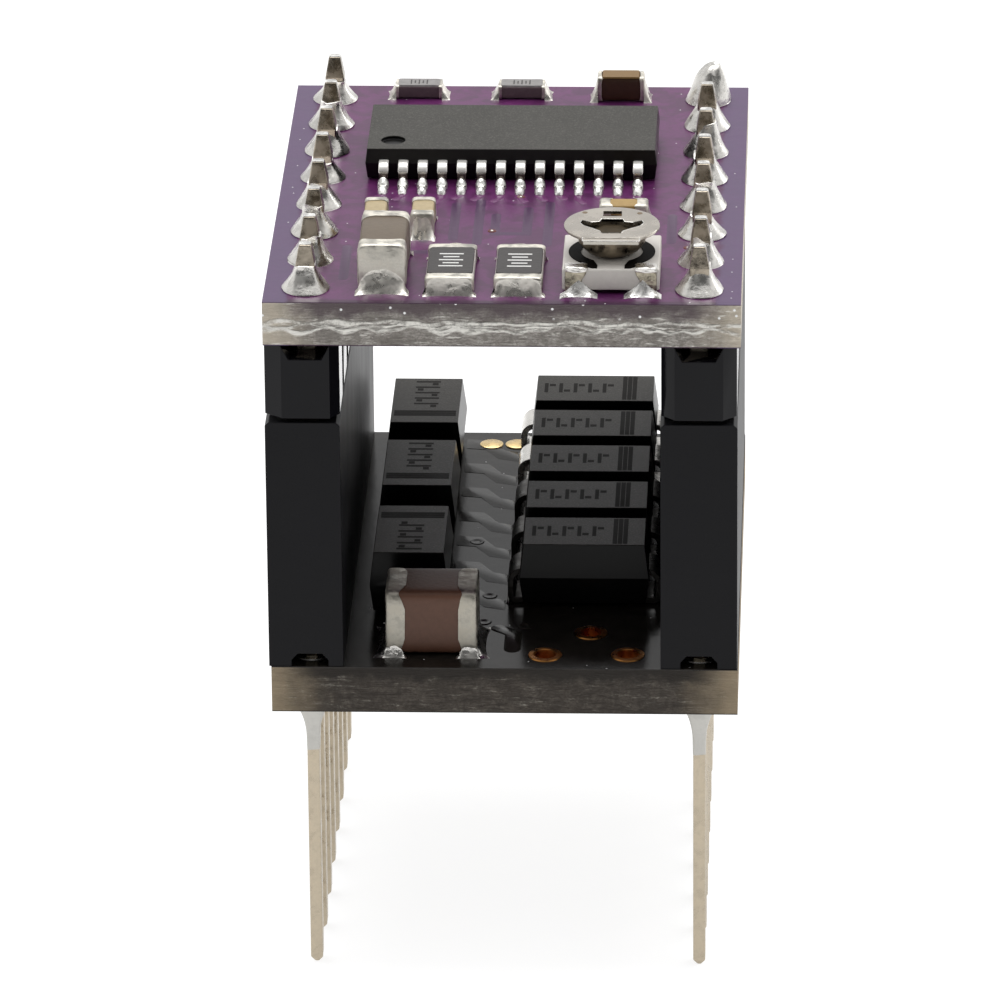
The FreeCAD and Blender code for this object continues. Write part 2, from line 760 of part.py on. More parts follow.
cores, ends, driver_solder = chips([SUPPLY_CAPACITOR], DRIVER_TOP)
keep("supply_capacitor_body", cores[0])
keep("supply_capacitor_terminations", ends[0])

cores, ends, solder = chips(SENSE_RESISTORS, DRIVER_TOP)
driver_solder += solder
for i, core in enumerate(cores, start=1):
    keep(f"sense_resistor_{i}_body", core)
keep("sense_resistor_terminations", group("sense_resistor_terminations", ends))

cores, ends, solder = chips(SMALL_CAPACITORS, DRIVER_TOP)
driver_solder += solder
keep("small_capacitor_bodies", group("small_capacitor_bodies", cores))
keep("small_capacitor_terminations", group("small_capacitor_terminations", ends))

cores, ends, solder = chips(BACK_RESISTORS + [BACK_CAPACITOR], DRIVER_TOP)
driver_solder += solder
keep("back_resistor_bodies", group("back_resistor_bodies", cores[:2]))
keep("back_capacitor_body", cores[2])
keep("back_row_terminations", group("back_row_terminations", ends))


# ---- Driver IC ---------------------------------------------------------------------------------

IC_PLACE = ("ic_x", "ic_y", DRIVER_TOP)


def ic_leads(label, turn):
    """A row of bent leads along one long side of the case; unturned, it is the front row."""
    piece = Solid(label)
    tip, heel = "-ic_lead_span / 2", "-ic_lead_span / 2 + ic_foot"
    tab = "-ic_width / 2 + ic_lead_root"
    upper, lower = "ic_parting + ic_lead_sheet / 2", "ic_parting - ic_lead_sheet / 2"
    profile = [
        (tab, lower),
        (f"{heel} + ic_lead_sheet * 0.8 + ic_lead_slope", lower, "ic_lead_inner_bend"),
        (f"{heel} + ic_lead_sheet * 0.8", "0", "ic_lead_bend"),
        (tip, "0"),
        (tip, "ic_lead_sheet"),
        (heel, "ic_lead_sheet", "ic_lead_inner_bend"),
        (f"{heel} + ic_lead_slope", upper, "ic_lead_bend"),
        (tab, upper),
    ]
    row = "(ic_leads_per_side - 1) * ic_lead_pitch"
    first = piece.sketch("YZ_Plane", profile, offset=f"-{row} / 2")
    piece.row([piece.pad(first, "ic_lead_width", both=True)], "X_Axis", row, "ic_leads_per_side")
    return keep(label, place(piece.body, *IC_PLACE, turn))


ic_rows = [ic_leads("driver_ic_front_leads", 0), ic_leads("driver_ic_back_leads", 180)]
ic_pad = block("ic_pad", "ic_pad_length", "ic_pad_width", "ic_pad_height", *IC_PLACE)
keep("driver_ic_thermal_pad", ic_pad)
ic_die_z = f"{DRIVER_TOP} + ic_pad_height"
ic_die = block("ic_die", "ic_die_side", "ic_die_side", "ic_die_height", "ic_x", "ic_y", ic_die_z)
keep("driver_ic_die", ic_die)
ic_case = moulding("ic_case", "ic_length", "ic_width", "ic_standoff", "ic_parting", "ic_height")
dimple = [("-ic_length / 2 + ic_dimple_inset", "-ic_width / 2 + ic_dimple_inset", "ic_dimple_radius")]
ic_case.pocket(ic_case.sketch("XY_Plane", circles=dimple, offset="ic_height"), "ic_dimple_depth")
place(ic_case.body, *IC_PLACE)
keep("driver_ic_body", cut("driver_ic_body", ic_case.body, ic_rows + [ic_pad, ic_die]))


# ---- Trimmer -----------------------------------------------------------------------------------

TRIMMER_PLACE = ("trimmer_x", "trimmer_y", DRIVER_TOP)
TERMINAL_TOP = "(trimmer_base_height + terminal_proud)"
DISC_BOTTOM = "(rotor_top - rotor_sheet)"
PIVOT_TOP = f"({DISC_BOTTOM} - rotor_running_gap)"
HEAD_BOTTOM = f"({PIVOT_TOP} - pivot_head_height)"
WEB_TOP = f"({HEAD_BOTTOM} - rotor_running_gap)"
WEB_BOTTOM = f"({WEB_TOP} - rotor_sheet)"


def end_terminals():
    """A strip wrapped round the base at each front corner, narrower towards its foot."""
    piece = Solid("end_terminals")
    front, back = "-trimmer_side / 2", "-trimmer_side / 2 + terminal_wrap"
    profile = [
        (front, "0"),
        (back, "0"),
        (back, "terminal_sheet"),
        (f"{front} + terminal_sheet", "terminal_sheet"),
        (f"{front} + terminal_sheet", f"{TERMINAL_TOP} - terminal_sheet"),
        (back, f"{TERMINAL_TOP} - terminal_sheet"),
        (back, TERMINAL_TOP),
        (front, TERMINAL_TOP, "terminal_sheet * 0.7"),
    ]
    drawing = piece.sketch("YZ_Plane", profile, offset="terminal_centre")
    strip = piece.pad(drawing, "terminal_width", both=True)
    inner = "terminal_centre - terminal_width / 2"
    flare = [(inner, TERMINAL_TOP), (inner, "0"), (f"{inner} + terminal_flare", "0")]
    taper = piece.pocket(piece.sketch("XZ_Plane", flare), "trimmer_side", both=True)
    piece.mirror([strip, taper], "YZ_Plane")
    return keep("trimmer_end_terminals", place(piece.body, *TRIMMER_PLACE))


def wiper_terminal():
    """A strip from under the pivot, back to the edge and up the back face of the base."""
    piece = Solid("wiper_terminal")
    back = "trimmer_side / 2"
    profile = [
        ("-pivot_head_radius", "0"),
        (back, "0"),
        (back, "trimmer_base_height * 0.7"),
        (f"{back} - terminal_sheet", "trimmer_base_height * 0.7"),
        (f"{back} - terminal_sheet", "terminal_sheet"),
        ("-pivot_head_radius", "terminal_sheet"),
    ]
    piece.pad(piece.sketch("YZ_Plane", profile), "terminal_width * 1.6", both=True)
    return keep("trimmer_wiper_terminal", place(piece.body, *TRIMMER_PLACE))


def pivot():
    """The rivet that holds the rotor down: it stands on the wiper terminal."""
    piece = Solid("pivot")
    profile = [
        ("0", "terminal_sheet"),
        ("pivot_radius", "terminal_sheet"),
        ("pivot_radius", HEAD_BOTTOM),
        ("pivot_head_radius", HEAD_BOTTOM),
        ("pivot_head_radius", PIVOT_TOP),
        ("0", PIVOT_TOP),
    ]
    piece.revolve(piece.sketch("XZ_Plane", profile))
    return keep("trimmer_pivot", place(piece.body, *TRIMMER_PLACE))


def trimmer_base(fittings):
    """A ceramic block with a bore for the pivot and a notch under its front edge."""
    piece = Solid("base_block")
    square = piece.sketch("XY_Plane", rectangle("trimmer_side", "trimmer_side"), offset="terminal_sheet")
    piece.pad(square, "trimmer_base_height - terminal_sheet")
    notch = rectangle("trimmer_side * 0.36", "terminal_wrap * 2", y="-trimmer_side / 2")
    piece.pocket(piece.sketch("XY_Plane", notch), "terminal_sheet * 2", reverse=True)
    bore = piece.sketch("XY_Plane", circles=[("0", "0", "trimmer_bore")])
    piece.pocket(bore, "trimmer_base_height", reverse=True)
    place(piece.body, *TRIMMER_PLACE)
    keep("trimmer_base", cut("trimmer_base", piece.body, fittings))


def track():
    """The resistive horseshoe, open at the front, with a leg to each end terminal."""
    piece = Solid("track")
    floor = "trimmer_base_height"
    disc = piece.sketch("XY_Plane", circles=[("0", "0", "track_outer")], offset=floor)
    piece.pad(disc, "track_height")
    legs = rectangle("(track_outer + track_inner) * 0.65", "track_outer", y="-track_outer * 0.6")
    piece.pad(piece.sketch("XY_Plane", legs, offset=floor), "track_height")
    middle = piece.sketch("XY_Plane", circles=[("0", "0", "track_inner")], offset=floor)
    piece.pocket(middle, "track_height", reverse=True)
    opening = rectangle("track_inner", "trimmer_side", y="-trimmer_side / 2")
    piece.pocket(piece.sketch("XY_Plane", opening, offset=floor), "track_height", reverse=True)
    keep("trimmer_track", place(piece.body, *TRIMMER_PLACE))


def rotor():
    """A flat disc over a hub cup that is held under the pivot's head, with a driver slot."""
    piece = Solid("rotor")
    profile = [
        ("rotor_bore", WEB_BOTTOM),
        ("rotor_hub_radius", WEB_BOTTOM),
        ("rotor_hub_radius", DISC_BOTTOM),
        ("rotor_radius", DISC_BOTTOM),
        ("rotor_radius", "rotor_top"),
        ("0", "rotor_top"),
        ("0", DISC_BOTTOM),
        ("rotor_hub_radius - rotor_hub_sheet", DISC_BOTTOM),
        ("rotor_hub_radius - rotor_hub_sheet", WEB_TOP),
        ("rotor_bore", WEB_TOP),
    ]
    piece.revolve(piece.sketch("XZ_Plane", profile))
    flat = rectangle("rotor_radius * 2", "rotor_radius", y="-rotor_flat - rotor_radius / 2")
    piece.pocket(piece.sketch("XY_Plane", flat), "rotor_top", reverse=True)
    lip = rectangle("lip_width", "rotor_hub_sheet", y="-rotor_flat + rotor_hub_sheet / 2")
    piece.pad(piece.sketch("XY_Plane", lip, offset=DISC_BOTTOM), "lip_depth", reverse=True)
    slot = mirrored_outline([
        ("driver_slot_boss * 0.44", "-driver_slot_front"),
        ("driver_slot_boss / 2", "-driver_slot_front * 0.77"),
        ("driver_slot_length * 0.3", "-driver_slot_front * 0.49"),
        ("driver_slot_length * 0.44", "-driver_slot_front * 0.17"),
        ("driver_slot_length / 2", "driver_slot_back * 0.33"),
        ("driver_slot_length * 0.47", "driver_slot_back * 0.8"),
        ("driver_slot_length * 0.33", "driver_slot_back * 0.36"),
        ("driver_slot_boss / 2", "driver_slot_back * 0.5"),
        ("driver_slot_boss * 0.45", "driver_slot_back"),
    ])
    piece.pocket(piece.sketch("XY_Plane", slot, offset="rotor_top"), "rotor_sheet")
    window = rectangle("rotor_window_width", "rotor_window_depth", y="rotor_window_y")
    piece.pocket(piece.sketch("XY_Plane", window, offset="rotor_top"), "rotor_sheet")
    keep("trimmer_rotor", place(piece.body, *TRIMMER_PLACE))


def wiper():
    """The spring arm under the rotor, whose bend runs on the track."""
    piece = Solid("wiper")
    root, bend = "rotor_hub_radius - 3 * wiper_sheet", "(track_outer + track_inner) / 2"
    low = "trimmer_base_height + track_height + wiper_clearance"
    arm = [
        (root, f"{WEB_BOTTOM} - wiper_sheet"),
        ("rotor_hub_radius", f"{WEB_BOTTOM} - wiper_sheet"),
        (f"{bend} - wiper_sheet * 1.25", low),
        (f"{bend} + wiper_sheet * 0.6", low),
        ("track_outer", f"{low} + wiper_sheet * 1.25"),
        ("track_outer - wiper_sheet * 0.4", f"{low} + wiper_sheet * 2.1"),
        (f"{bend} + wiper_sheet * 0.25", f"{low} + wiper_sheet"),
        (f"{bend} - wiper_sheet * 0.9", f"{low} + wiper_sheet"),
        ("rotor_hub_radius + wiper_sheet / 4", WEB_BOTTOM),
        (root, WEB_BOTTOM),
    ]
    piece.pad(piece.sketch("YZ_Plane", arm), "wiper_width", both=True)
    keep("trimmer_wiper", place(piece.body, *TRIMMER_PLACE))


trimmer_base([end_terminals(), wiper_terminal(), pivot()])
track()
rotor()
wiper()

# Solder at the trimmer's terminals: x from its centre, the side of the base, turn
TRIMMER_JOINTS = [("-terminal_centre", "-", 270), ("terminal_centre", "-", 270), ("0", "+", 90)]
for i, (x, side, turn) in enumerate(TRIMMER_JOINTS):
    size = ("terminal_width * 1.6", "trimmer_base_height * 0.4", "trimmer_solder_reach")
    fillet = solder_fillet(f"trimmer_solder_{i}", *size)
    face = f"trimmer_y {side} trimmer_side / 2"
    driver_solder.append(place(fillet, f"trimmer_x + {x}", face, DRIVER_TOP, turn))
keep("driver_solder", group("driver_solder", driver_solder))


# ---- Checks and export -------------------------------------------------------------------------

document.recompute()
faults = [item.Name for item in document.Objects if {"Invalid", "Error"} & set(item.State)]
for piece in subparts:
    if piece.Shape.isNull() or not piece.Shape.isValid():
        faults.append(piece.Label)
if faults:
    raise RuntimeError(f"failed objects: {faults}")
os.makedirs("parts", exist_ok=True)
for piece in subparts:
    piece.Shape.exportStep(f"parts/{piece.Label}.step")
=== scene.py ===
import json
import math
import random
from collections import namedtuple

import bmesh
import bpy
from mathutils import Matrix, Vector, noise

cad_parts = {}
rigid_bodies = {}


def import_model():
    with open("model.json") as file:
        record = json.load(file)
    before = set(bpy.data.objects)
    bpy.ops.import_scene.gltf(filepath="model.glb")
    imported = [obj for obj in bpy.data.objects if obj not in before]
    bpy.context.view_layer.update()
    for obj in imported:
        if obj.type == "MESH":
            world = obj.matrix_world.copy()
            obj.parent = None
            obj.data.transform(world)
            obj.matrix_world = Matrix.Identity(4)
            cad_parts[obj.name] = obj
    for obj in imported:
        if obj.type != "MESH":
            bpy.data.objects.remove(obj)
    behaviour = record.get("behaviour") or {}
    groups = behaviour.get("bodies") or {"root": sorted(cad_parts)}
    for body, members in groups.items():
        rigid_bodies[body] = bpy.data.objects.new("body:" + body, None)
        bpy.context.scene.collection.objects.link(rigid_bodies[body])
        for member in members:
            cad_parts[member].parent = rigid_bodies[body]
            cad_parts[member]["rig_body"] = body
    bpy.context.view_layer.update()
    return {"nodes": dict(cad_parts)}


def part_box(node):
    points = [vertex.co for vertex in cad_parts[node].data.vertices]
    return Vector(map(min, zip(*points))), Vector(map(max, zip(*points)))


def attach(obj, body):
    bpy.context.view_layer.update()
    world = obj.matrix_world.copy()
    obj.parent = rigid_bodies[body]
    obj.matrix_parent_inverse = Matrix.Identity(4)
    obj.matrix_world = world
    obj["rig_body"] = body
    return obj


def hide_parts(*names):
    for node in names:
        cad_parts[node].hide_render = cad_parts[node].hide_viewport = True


# A stepper driver module: a driver board plugged into the sockets of a smoother board. The boards are
# the frame's own, the plastic and the pins are its shapes with rounded edges, and the rest is drawn anew.
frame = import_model()

MM = 0.001
SMOOTHER, DRIVER, ROTOR = "smoother_board", "driver_module", "trimmer_rotor"


def span(node):
    """Lowest and highest corner of a CAD node, in millimetres."""
    low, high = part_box(node)
    return low / MM, high / MM


# ---- Places that the frame gives, in millimetres ----

smoother_low, smoother_high = span("smoother_pcb")
driver_low, driver_high = span("driver_pcb")
SMOOTHER_TOP = smoother_high.z
DRIVER_TOP = driver_high.z
IC_TOP = span("driver_ic_body")[1].z
DIODE_TOP = span("diode_1_body")[1].z
PITCH = 2.54
PINS = 8
pin_low, pin_high = span("left_header_pins")
ROW_X = -(pin_low.x + pin_high.x) / 2
PIN_YS = [(i - (PINS - 1) / 2) * PITCH for i in range(PINS)]
ROWS = {"left": -ROW_X, "right": ROW_X}
lead_low, lead_high = span("driver_ic_front_leads")
LEADS = 14              # on each side of the driver IC
LEAD_PITCH = 0.65
LEAD_XS = [(lead_low.x + lead_high.x) / 2 + (i - (LEADS - 1) / 2) * LEAD_PITCH for i in range(LEADS)]


# ---- Mesh building, in millimetres ----

def add_loft(shape, rings, closed=False):
    """Skin successive rings with quads; the ends are capped, or joined to each other."""
    loops = [[shape.verts.new(point) for point in ring] for ring in rings]
    pairs = list(zip(loops, loops[1:]))
    if closed:
        pairs.append((loops[-1], loops[0]))
    for lower, upper in pairs:
        for i in range(len(lower)):
            j = (i + 1) % len(lower)
            shape.faces.new((lower[i], lower[j], upper[j], upper[i]))
    if not closed:
        shape.faces.new(list(reversed(loops[0])))
        shape.faces.new(loops[-1])
    return shape


def add_lathe(shape, profile, x, y, segments=48, closed=False):
    """Turn a profile of (radius, z) about the vertical axis through x, y."""
    angles = [2 * math.pi * i / segments for i in range(segments)]
    rings = [[Vector((x + r * math.cos(a), y + r * math.sin(a), z)) for a in angles] for r, z in profile]
    return add_loft(shape, rings, closed)


def add_prism(shape, outline, low, high, inset=0.0):
    """Raise a flat outline from low to high; inset pulls the top towards the middle."""
    middle = sum((Vector((x, y, 0)) for x, y in outline), Vector()) / len(outline)
    top = []
    for x, y in outline:
        point = Vector((x, y, 0))
        top.append(point + (middle - point).normalized() * inset + Vector((0, 0, high)))
    bottom = [Vector((x, y, low)) for x, y in outline]
    return add_loft(shape, [bottom, top])


def add_box(shape, low, high):
    """A box from its lowest corner to its highest."""
    (x0, y0, z0), (x1, y1, z1) = low, high
    return add_prism(shape, [(x0, y0), (x1, y0), (x1, y1), (x0, y1)], z0, z1)


def superellipse(half_u, half_v, power, count):
    """Points round a rectangle whose corners are rounder the smaller the power is."""
    points = []
    for i in range(count):
        angle = 2 * math.pi * (i + 0.5) / count
        c, s = math.cos(angle), math.sin(angle)
        u = math.copysign(abs(c) ** (2 / power), c) * half_u
        v = math.copysign(abs(s) ** (2 / power), s) * half_v
        points.append((u, v))
    return points


def settle(shape, x, y, z, turn=0):
    """Turn a drawing about +Z by degrees and move it to x, y, z."""
    matrix = Matrix.Translation((x, y, z)) @ Matrix.Rotation(math.radians(turn), 4, "Z")
    bmesh.ops.transform(shape, matrix=matrix, verts=shape.verts)
    return shape


def merged(shapes):
    """Several drawings as one."""
    total = bmesh.new()
    for shape in shapes:
        mesh = bpy.data.meshes.new("part")
        shape.to_mesh(mesh)
        total.from_mesh(mesh)
        bpy.data.meshes.remove(mesh)
        shape.free()
    return total


def soften(thing, width, segments=2, angle=30):
    """Round every edge sharper than the angle, with a live bevel."""
    bevel = thing.modifiers.new("soften", "BEVEL")
    bevel.width = width * MM
    bevel.segments = segments
    bevel.limit_method = "ANGLE"
    bevel.angle_limit = math.radians(angle)
    bevel.harden_normals = True


def shown(name, shape, material, body, sharp):
    """An object from a drawing in metres, riding on its body; sharp is None where nothing is creased."""
    mesh = bpy.data.meshes.new(name)
    shape.to_mesh(mesh)
    shape.free()
    mesh.polygons.foreach_set("use_smooth", [True] * len(mesh.polygons))
    if sharp:
        mesh.set_sharp_from_angle(angle=math.radians(sharp))
    mesh.materials.append(material)
    thing = bpy.data.objects.new(name, mesh)
    bpy.context.scene.collection.objects.link(thing)
    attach(thing, body)
    return thing


def piece(name, shape, material, body, nodes=(), bevel=0.0, sharp=35):
    """A finished object from a drawing in millimetres, which stands for the CAD nodes given."""
    bmesh.ops.recalc_face_normals(shape, faces=shape.faces)
    bmesh.ops.scale(shape, vec=(MM, MM, MM), verts=shape.verts)
    thing = shown(name, shape, material, body, None if bevel else sharp)
    if bevel:
        soften(thing, bevel)
    if nodes:
        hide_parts(*nodes)
    return thing


def refined(node, width, material, segments=2, sharp=30, moved=None):
    """A copy of a CAD node with rounded edges, which stands for it.

    Faces that meet at more than `sharp` degrees don't share their shading. `moved` takes a corner in
    millimetres and gives back where it goes.
    """
    source = frame["nodes"][node]
    shape = bmesh.new()
    shape.from_mesh(source.data)
    bmesh.ops.remove_doubles(shape, verts=shape.verts, dist=1e-7)
    if moved:
        for vertex in shape.verts:
            vertex.co = moved(vertex.co / MM) * MM
    flat = math.radians(0.5)
    bmesh.ops.dissolve_limit(shape, angle_limit=flat, verts=shape.verts, edges=shape.edges)
    thing = shown(f"{node}_fine", shape, material, source["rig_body"], sharp)
    soften(thing, width, segments)
    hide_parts(node)


def paint(node, material):
    """Give a CAD node that stays as it is a material."""
    data = frame["nodes"][node].data
    data.materials.clear()
    data.materials.append(material)


# ---- Material building ----

def shade(colour, factor):
    """A colour made darker or lighter."""
    return tuple(c * factor for c in colour)


def grey(level):
    """A grey of one level; it also stands for a plain value where two are mixed as colours."""
    return (level, level, level)


class Finish:
    """A Principled material; every texture is placed in millimetres of the object's own space."""

    def __init__(self, name, colour, roughness, specular=0.5, metallic=0.0):
        self.material = bpy.data.materials.new(name)
        self.material.use_nodes = True
        self.tree = self.material.node_tree
        self.shader = self.tree.nodes["Principled BSDF"]
        self.shader.inputs["Base Color"].default_value = (*colour, 1)
        self.shader.inputs["Roughness"].default_value = roughness
        self.shader.inputs["Specular IOR Level"].default_value = specular
        self.shader.inputs["Metallic"].default_value = metallic
        coordinates = self.node("ShaderNodeTexCoord")
        scaled = self.node("ShaderNodeVectorMath", operation="SCALE")
        scaled.inputs["Scale"].default_value = 1 / MM
        self.tree.links.new(coordinates.outputs["Object"], scaled.inputs[0])
        self.place = scaled.outputs[0]

    def node(self, kind, **settings):
        made = self.tree.nodes.new(kind)
        for name, setting in settings.items():
            setattr(made, name, setting)
        return made

    def wire(self, source, socket):
        """Link a socket, or set it where the source is a plain value."""
        if isinstance(source, bpy.types.NodeSocket):
            self.tree.links.new(source, socket)
        elif isinstance(source, tuple) and socket.type == "RGBA":
            socket.default_value = (*source, 1) if len(source) == 3 else source
        else:
            socket.default_value = source

    def stretched(self, factors):
        """The place, scaled along each axis."""
        made = self.node("ShaderNodeVectorMath", operation="MULTIPLY")
        self.wire(self.place, made.inputs[0])
        made.inputs[1].default_value = factors
        return made.outputs[0]

    def noise(self, scale, detail=3.0, rough=0.55, stretch=(1, 1, 1), distortion=0.0):
        """Noise from 0 to 1 with about `scale` features a millimetre."""
        made = self.node("ShaderNodeTexNoise")
        self.wire(self.stretched(stretch), made.inputs["Vector"])
        made.inputs["Scale"].default_value = scale
        made.inputs["Detail"].default_value = detail
        made.inputs["Roughness"].default_value = rough
        made.inputs["Distortion"].default_value = distortion
        return made.outputs["Fac"]

    def dots(self, scale, radius, share, plane="XY"):
        """Round dots in a share of a scatter's cells, on a flat face: 1 inside, 0 outside."""
        flat = self.node("ShaderNodeCombineXYZ")
        self.wire(self.axis(plane[0]), flat.inputs[0])
        self.wire(self.axis(plane[1]), flat.inputs[1])
        made = self.node("ShaderNodeTexVoronoi", voronoi_dimensions="2D")
        self.wire(flat.outputs[0], made.inputs["Vector"])
        made.inputs["Scale"].default_value = scale
        chosen = self.node("ShaderNodeSeparateColor")
        self.wire(made.outputs["Color"], chosen.inputs[0])
        kept = self.calculate("LESS_THAN", chosen.outputs[0], share)
        return self.times(self.fade(made.outputs["Distance"], radius, radius * 0.6), kept)

    def ramp(self, value, *stops):
        """Map a value through stops of (position, grey or colour)."""
        made = self.node("ShaderNodeValToRGB")
        self.wire(value, made.inputs["Fac"])
        elements = made.color_ramp.elements
        while len(elements) < len(stops):
            elements.new(0.5)
        for element, (position, tone) in zip(elements, stops):
            element.position = position
            element.color = (*(tone if isinstance(tone, tuple) else grey(tone)), 1)
        return made.outputs["Color"]

    def calculate(self, operation, first, second=0.0, third=0.0):
        made = self.node("ShaderNodeMath", operation=operation)
        for socket, value in zip(made.inputs, (first, second, third)):
            self.wire(value, socket)
        return made.outputs[0]

    def times(self, first, second):
        return self.calculate("MULTIPLY", first, second)

    def axis(self, name):
        """One coordinate of the place, in millimetres."""
        made = self.node("ShaderNodeSeparateXYZ")
        self.wire(self.place, made.inputs[0])
        return made.outputs[name]

    def fade(self, value, start, end):
        """0 at start, 1 at end, smooth between."""
        made = self.node("ShaderNodeMapRange", interpolation_type="SMOOTHSTEP")
        self.wire(value, made.inputs["Value"])
        made.inputs["From Min"].default_value = start
        made.inputs["From Max"].default_value = end
        return made.outputs["Result"]

    def mix(self, factor, first, second):
        made = self.node("ShaderNodeMix", data_type="RGBA")
        self.wire(factor, made.inputs["Factor"])
        self.wire(first, made.inputs[6])
        self.wire(second, made.inputs[7])
        return made.outputs[2]

    def colour(self, source):
        self.wire(source, self.shader.inputs["Base Color"])

    def roughness(self, source):
        self.wire(source, self.shader.inputs["Roughness"])

    def bump(self, height, distance):
        """Add relief; distance is its depth in millimetres, and calls stack."""
        made = self.node("ShaderNodeBump")
        made.inputs["Distance"].default_value = distance * MM
        self.wire(height, made.inputs["Height"])
        normal = self.shader.inputs["Normal"]
        if normal.is_linked:
            self.tree.links.new(normal.links[0].from_socket, made.inputs["Normal"])
        self.tree.links.new(made.outputs["Normal"], normal)


# ---- Materials ----

def mask_tint(board, front, mask, margin, cloudy):
    """The mask's colour: cloudy, with small splashes of flux.

    With a margin tone, it is darker along the front edge and has that tone along the long edges,
    where there is bare laminate below it.
    """
    tint = board.mix(board.ramp(cloudy, (0.42, 0.0), (0.56, 1.0)), shade(mask, 0.76), shade(mask, 1.22))
    if margin:
        rim = board.fade(board.axis("Y"), front + 0.34, front + 0.12)
        tint = board.mix(board.times(rim, 0.9), tint, shade(mask, 0.30))
    fine = board.ramp(board.noise(6.0, 4.0, 0.7), (0.40, 0.30), (0.60, 0.0))
    tint = board.mix(fine, tint, shade(mask, 0.62))
    if margin:
        reach = board.calculate("ABSOLUTE", board.axis("X"))
        ragged = board.calculate("MULTIPLY_ADD", cloudy, 0.9, reach)
        tint = board.mix(board.times(board.fade(ragged, 7.25, 7.45), 0.85), tint, margin)
    return board.mix(board.dots(1.5, 0.045, 0.16), tint, grey(0.8))


def glass_bundles(board, low, thickness, strands, glass):
    """Bundles of glass: pale lines that wander along the cut edge and break up."""
    height = board.axis("Z")
    bundles = 0.0
    # How far up the edge, how far the line swings, a seed, and half its width in millimetres
    lines = [(0.53, 0.16, 3.0, 0.10), (0.38, 0.30, 11.0, 0.11), (0.45, 0.18, 7.0, 0.07)]
    for level, swing, seed, half in lines:
        drift = board.noise(0.62 + 0.02 * seed, 1.0, stretch=(1, 0, 0.0001 * seed))
        lowest = low + (level - swing) * thickness
        wander = board.calculate("MULTIPLY_ADD", drift, 2 * swing * thickness, lowest)
        wander = board.calculate("MULTIPLY_ADD", strands, 0.24, board.calculate("SUBTRACT", wander, 0.12))
        away = board.calculate("ABSOLUTE", board.calculate("SUBTRACT", height, wander))
        width = board.calculate("MULTIPLY_ADD", board.noise(0.9, 2.0), half * 3, -half * 0.6)
        share = board.calculate("DIVIDE", away, board.calculate("MAXIMUM", width, 0.012))
        broken = board.noise(1.7, 5.0, 0.7, stretch=(1, 1, 0.3 * seed))
        band = board.times(board.fade(share, 1.0, 0.35), board.ramp(broken, (0.40, 0.10), (0.55, 1.0)))
        bundles = board.calculate("MAXIMUM", bundles, band)
    return board.times(bundles, glass)


def laminate(name, corners, mask, gloss, edge, glass, margin=None):
    """A board: solder mask on both faces, cut glass-fibre laminate round the edge.

    corners are the board's lowest and highest; gloss is the mask's roughness and specular level.
    edge holds the deep, middle and pale tones of the cut laminate and the warmer tone it has near the
    corners. glass is how strongly the bundles of glass show, and margin is the tone for mask_tint.
    """
    mask_roughness, mask_specular = gloss
    deep, middle, pale, corner = edge
    low, high = (place.z for place in corners)
    thickness = high - low
    skin = 0.035    # thickness of the mask
    board = Finish(name, mask, mask_roughness, mask_specular)
    height = board.axis("Z")
    below = board.fade(height, low + skin, low + skin * 0.6)
    above = board.fade(height, high - skin, high - skin * 0.6)
    on_mask = board.calculate("MAXIMUM", below, above)
    reach = board.calculate("ABSOLUTE", board.axis("X"))
    cloudy = board.noise(0.9, 4.0, 0.65, distortion=1.2)
    tint = mask_tint(board, corners[0].y, mask, margin, cloudy)

    strands = board.noise(2.0, 6.0, 0.72, stretch=(0.5, 0.5, 3.6), distortion=1.0)
    grain = board.noise(11.0, 4.0, 0.75, stretch=(0.6, 0.6, 1.6))
    weave = board.ramp(strands, (0.36, deep), (0.47, middle), (0.57, middle), (0.68, pale))
    weave = board.mix(board.ramp(grain, (0.36, 0.80), (0.56, 0.0)), weave, deep)
    stains = board.ramp(board.noise(1.6, 4.0, 0.7, distortion=1.0), (0.44, 0.55), (0.56, 0.0))
    weave = board.mix(stains, weave, deep)
    ends = board.calculate("MULTIPLY_ADD", board.noise(0.9, 3.0), 1.6, reach)
    weave = board.mix(board.times(board.fade(ends, 6.3, 9.0), 0.72), weave, corner)

    bundles = glass_bundles(board, low, thickness, strands, glass)
    weave = board.mix(bundles, weave, pale)
    dashes = board.noise(2.6, 3.0, 0.6, stretch=(0.5, 1, 3.2))
    weave = board.mix(board.ramp(dashes, (0.63, 0.0), (0.70, 0.7 * glass)), weave, pale)

    # The mask's colour smears over the upper part of the cut, away from the corners
    rise = board.calculate("MULTIPLY_ADD", board.noise(1.6, 4.0, 0.65), 0.7 * thickness, height)
    smeared = board.times(board.fade(rise, low + 0.92 * thickness, low + 1.22 * thickness),
                          board.fade(reach, 7.4, 5.9))
    smear = tuple(c * 0.50 + d * 0.22 for c, d in zip(deep, mask))
    weave = board.mix(board.times(smeared, 0.92), weave, smear)
    # Painted glints: small white dots high on the cut edge
    painted_glints = board.times(board.dots(1.9, 0.10, 0.50 * glass, "XZ"),
                           board.fade(height, low + 0.6 * thickness, low + 0.7 * thickness))
    weave = board.mix(painted_glints, weave, grey(1.0))

    board.colour(board.mix(on_mask, weave, tint))
    matte = board.mix(cloudy, grey(mask_roughness * 0.85), grey(mask_roughness * 1.2))
    board.roughness(board.mix(on_mask, grey(0.65), matte))
    for relief, depth in ((strands, 0.05), (bundles, 0.03), (grain, 0.02)):
        board.bump(board.mix(on_mask, relief, grey(0.5)), depth)
    board.bump(board.noise(1.6, 3.0), 0.006)
    return board.material


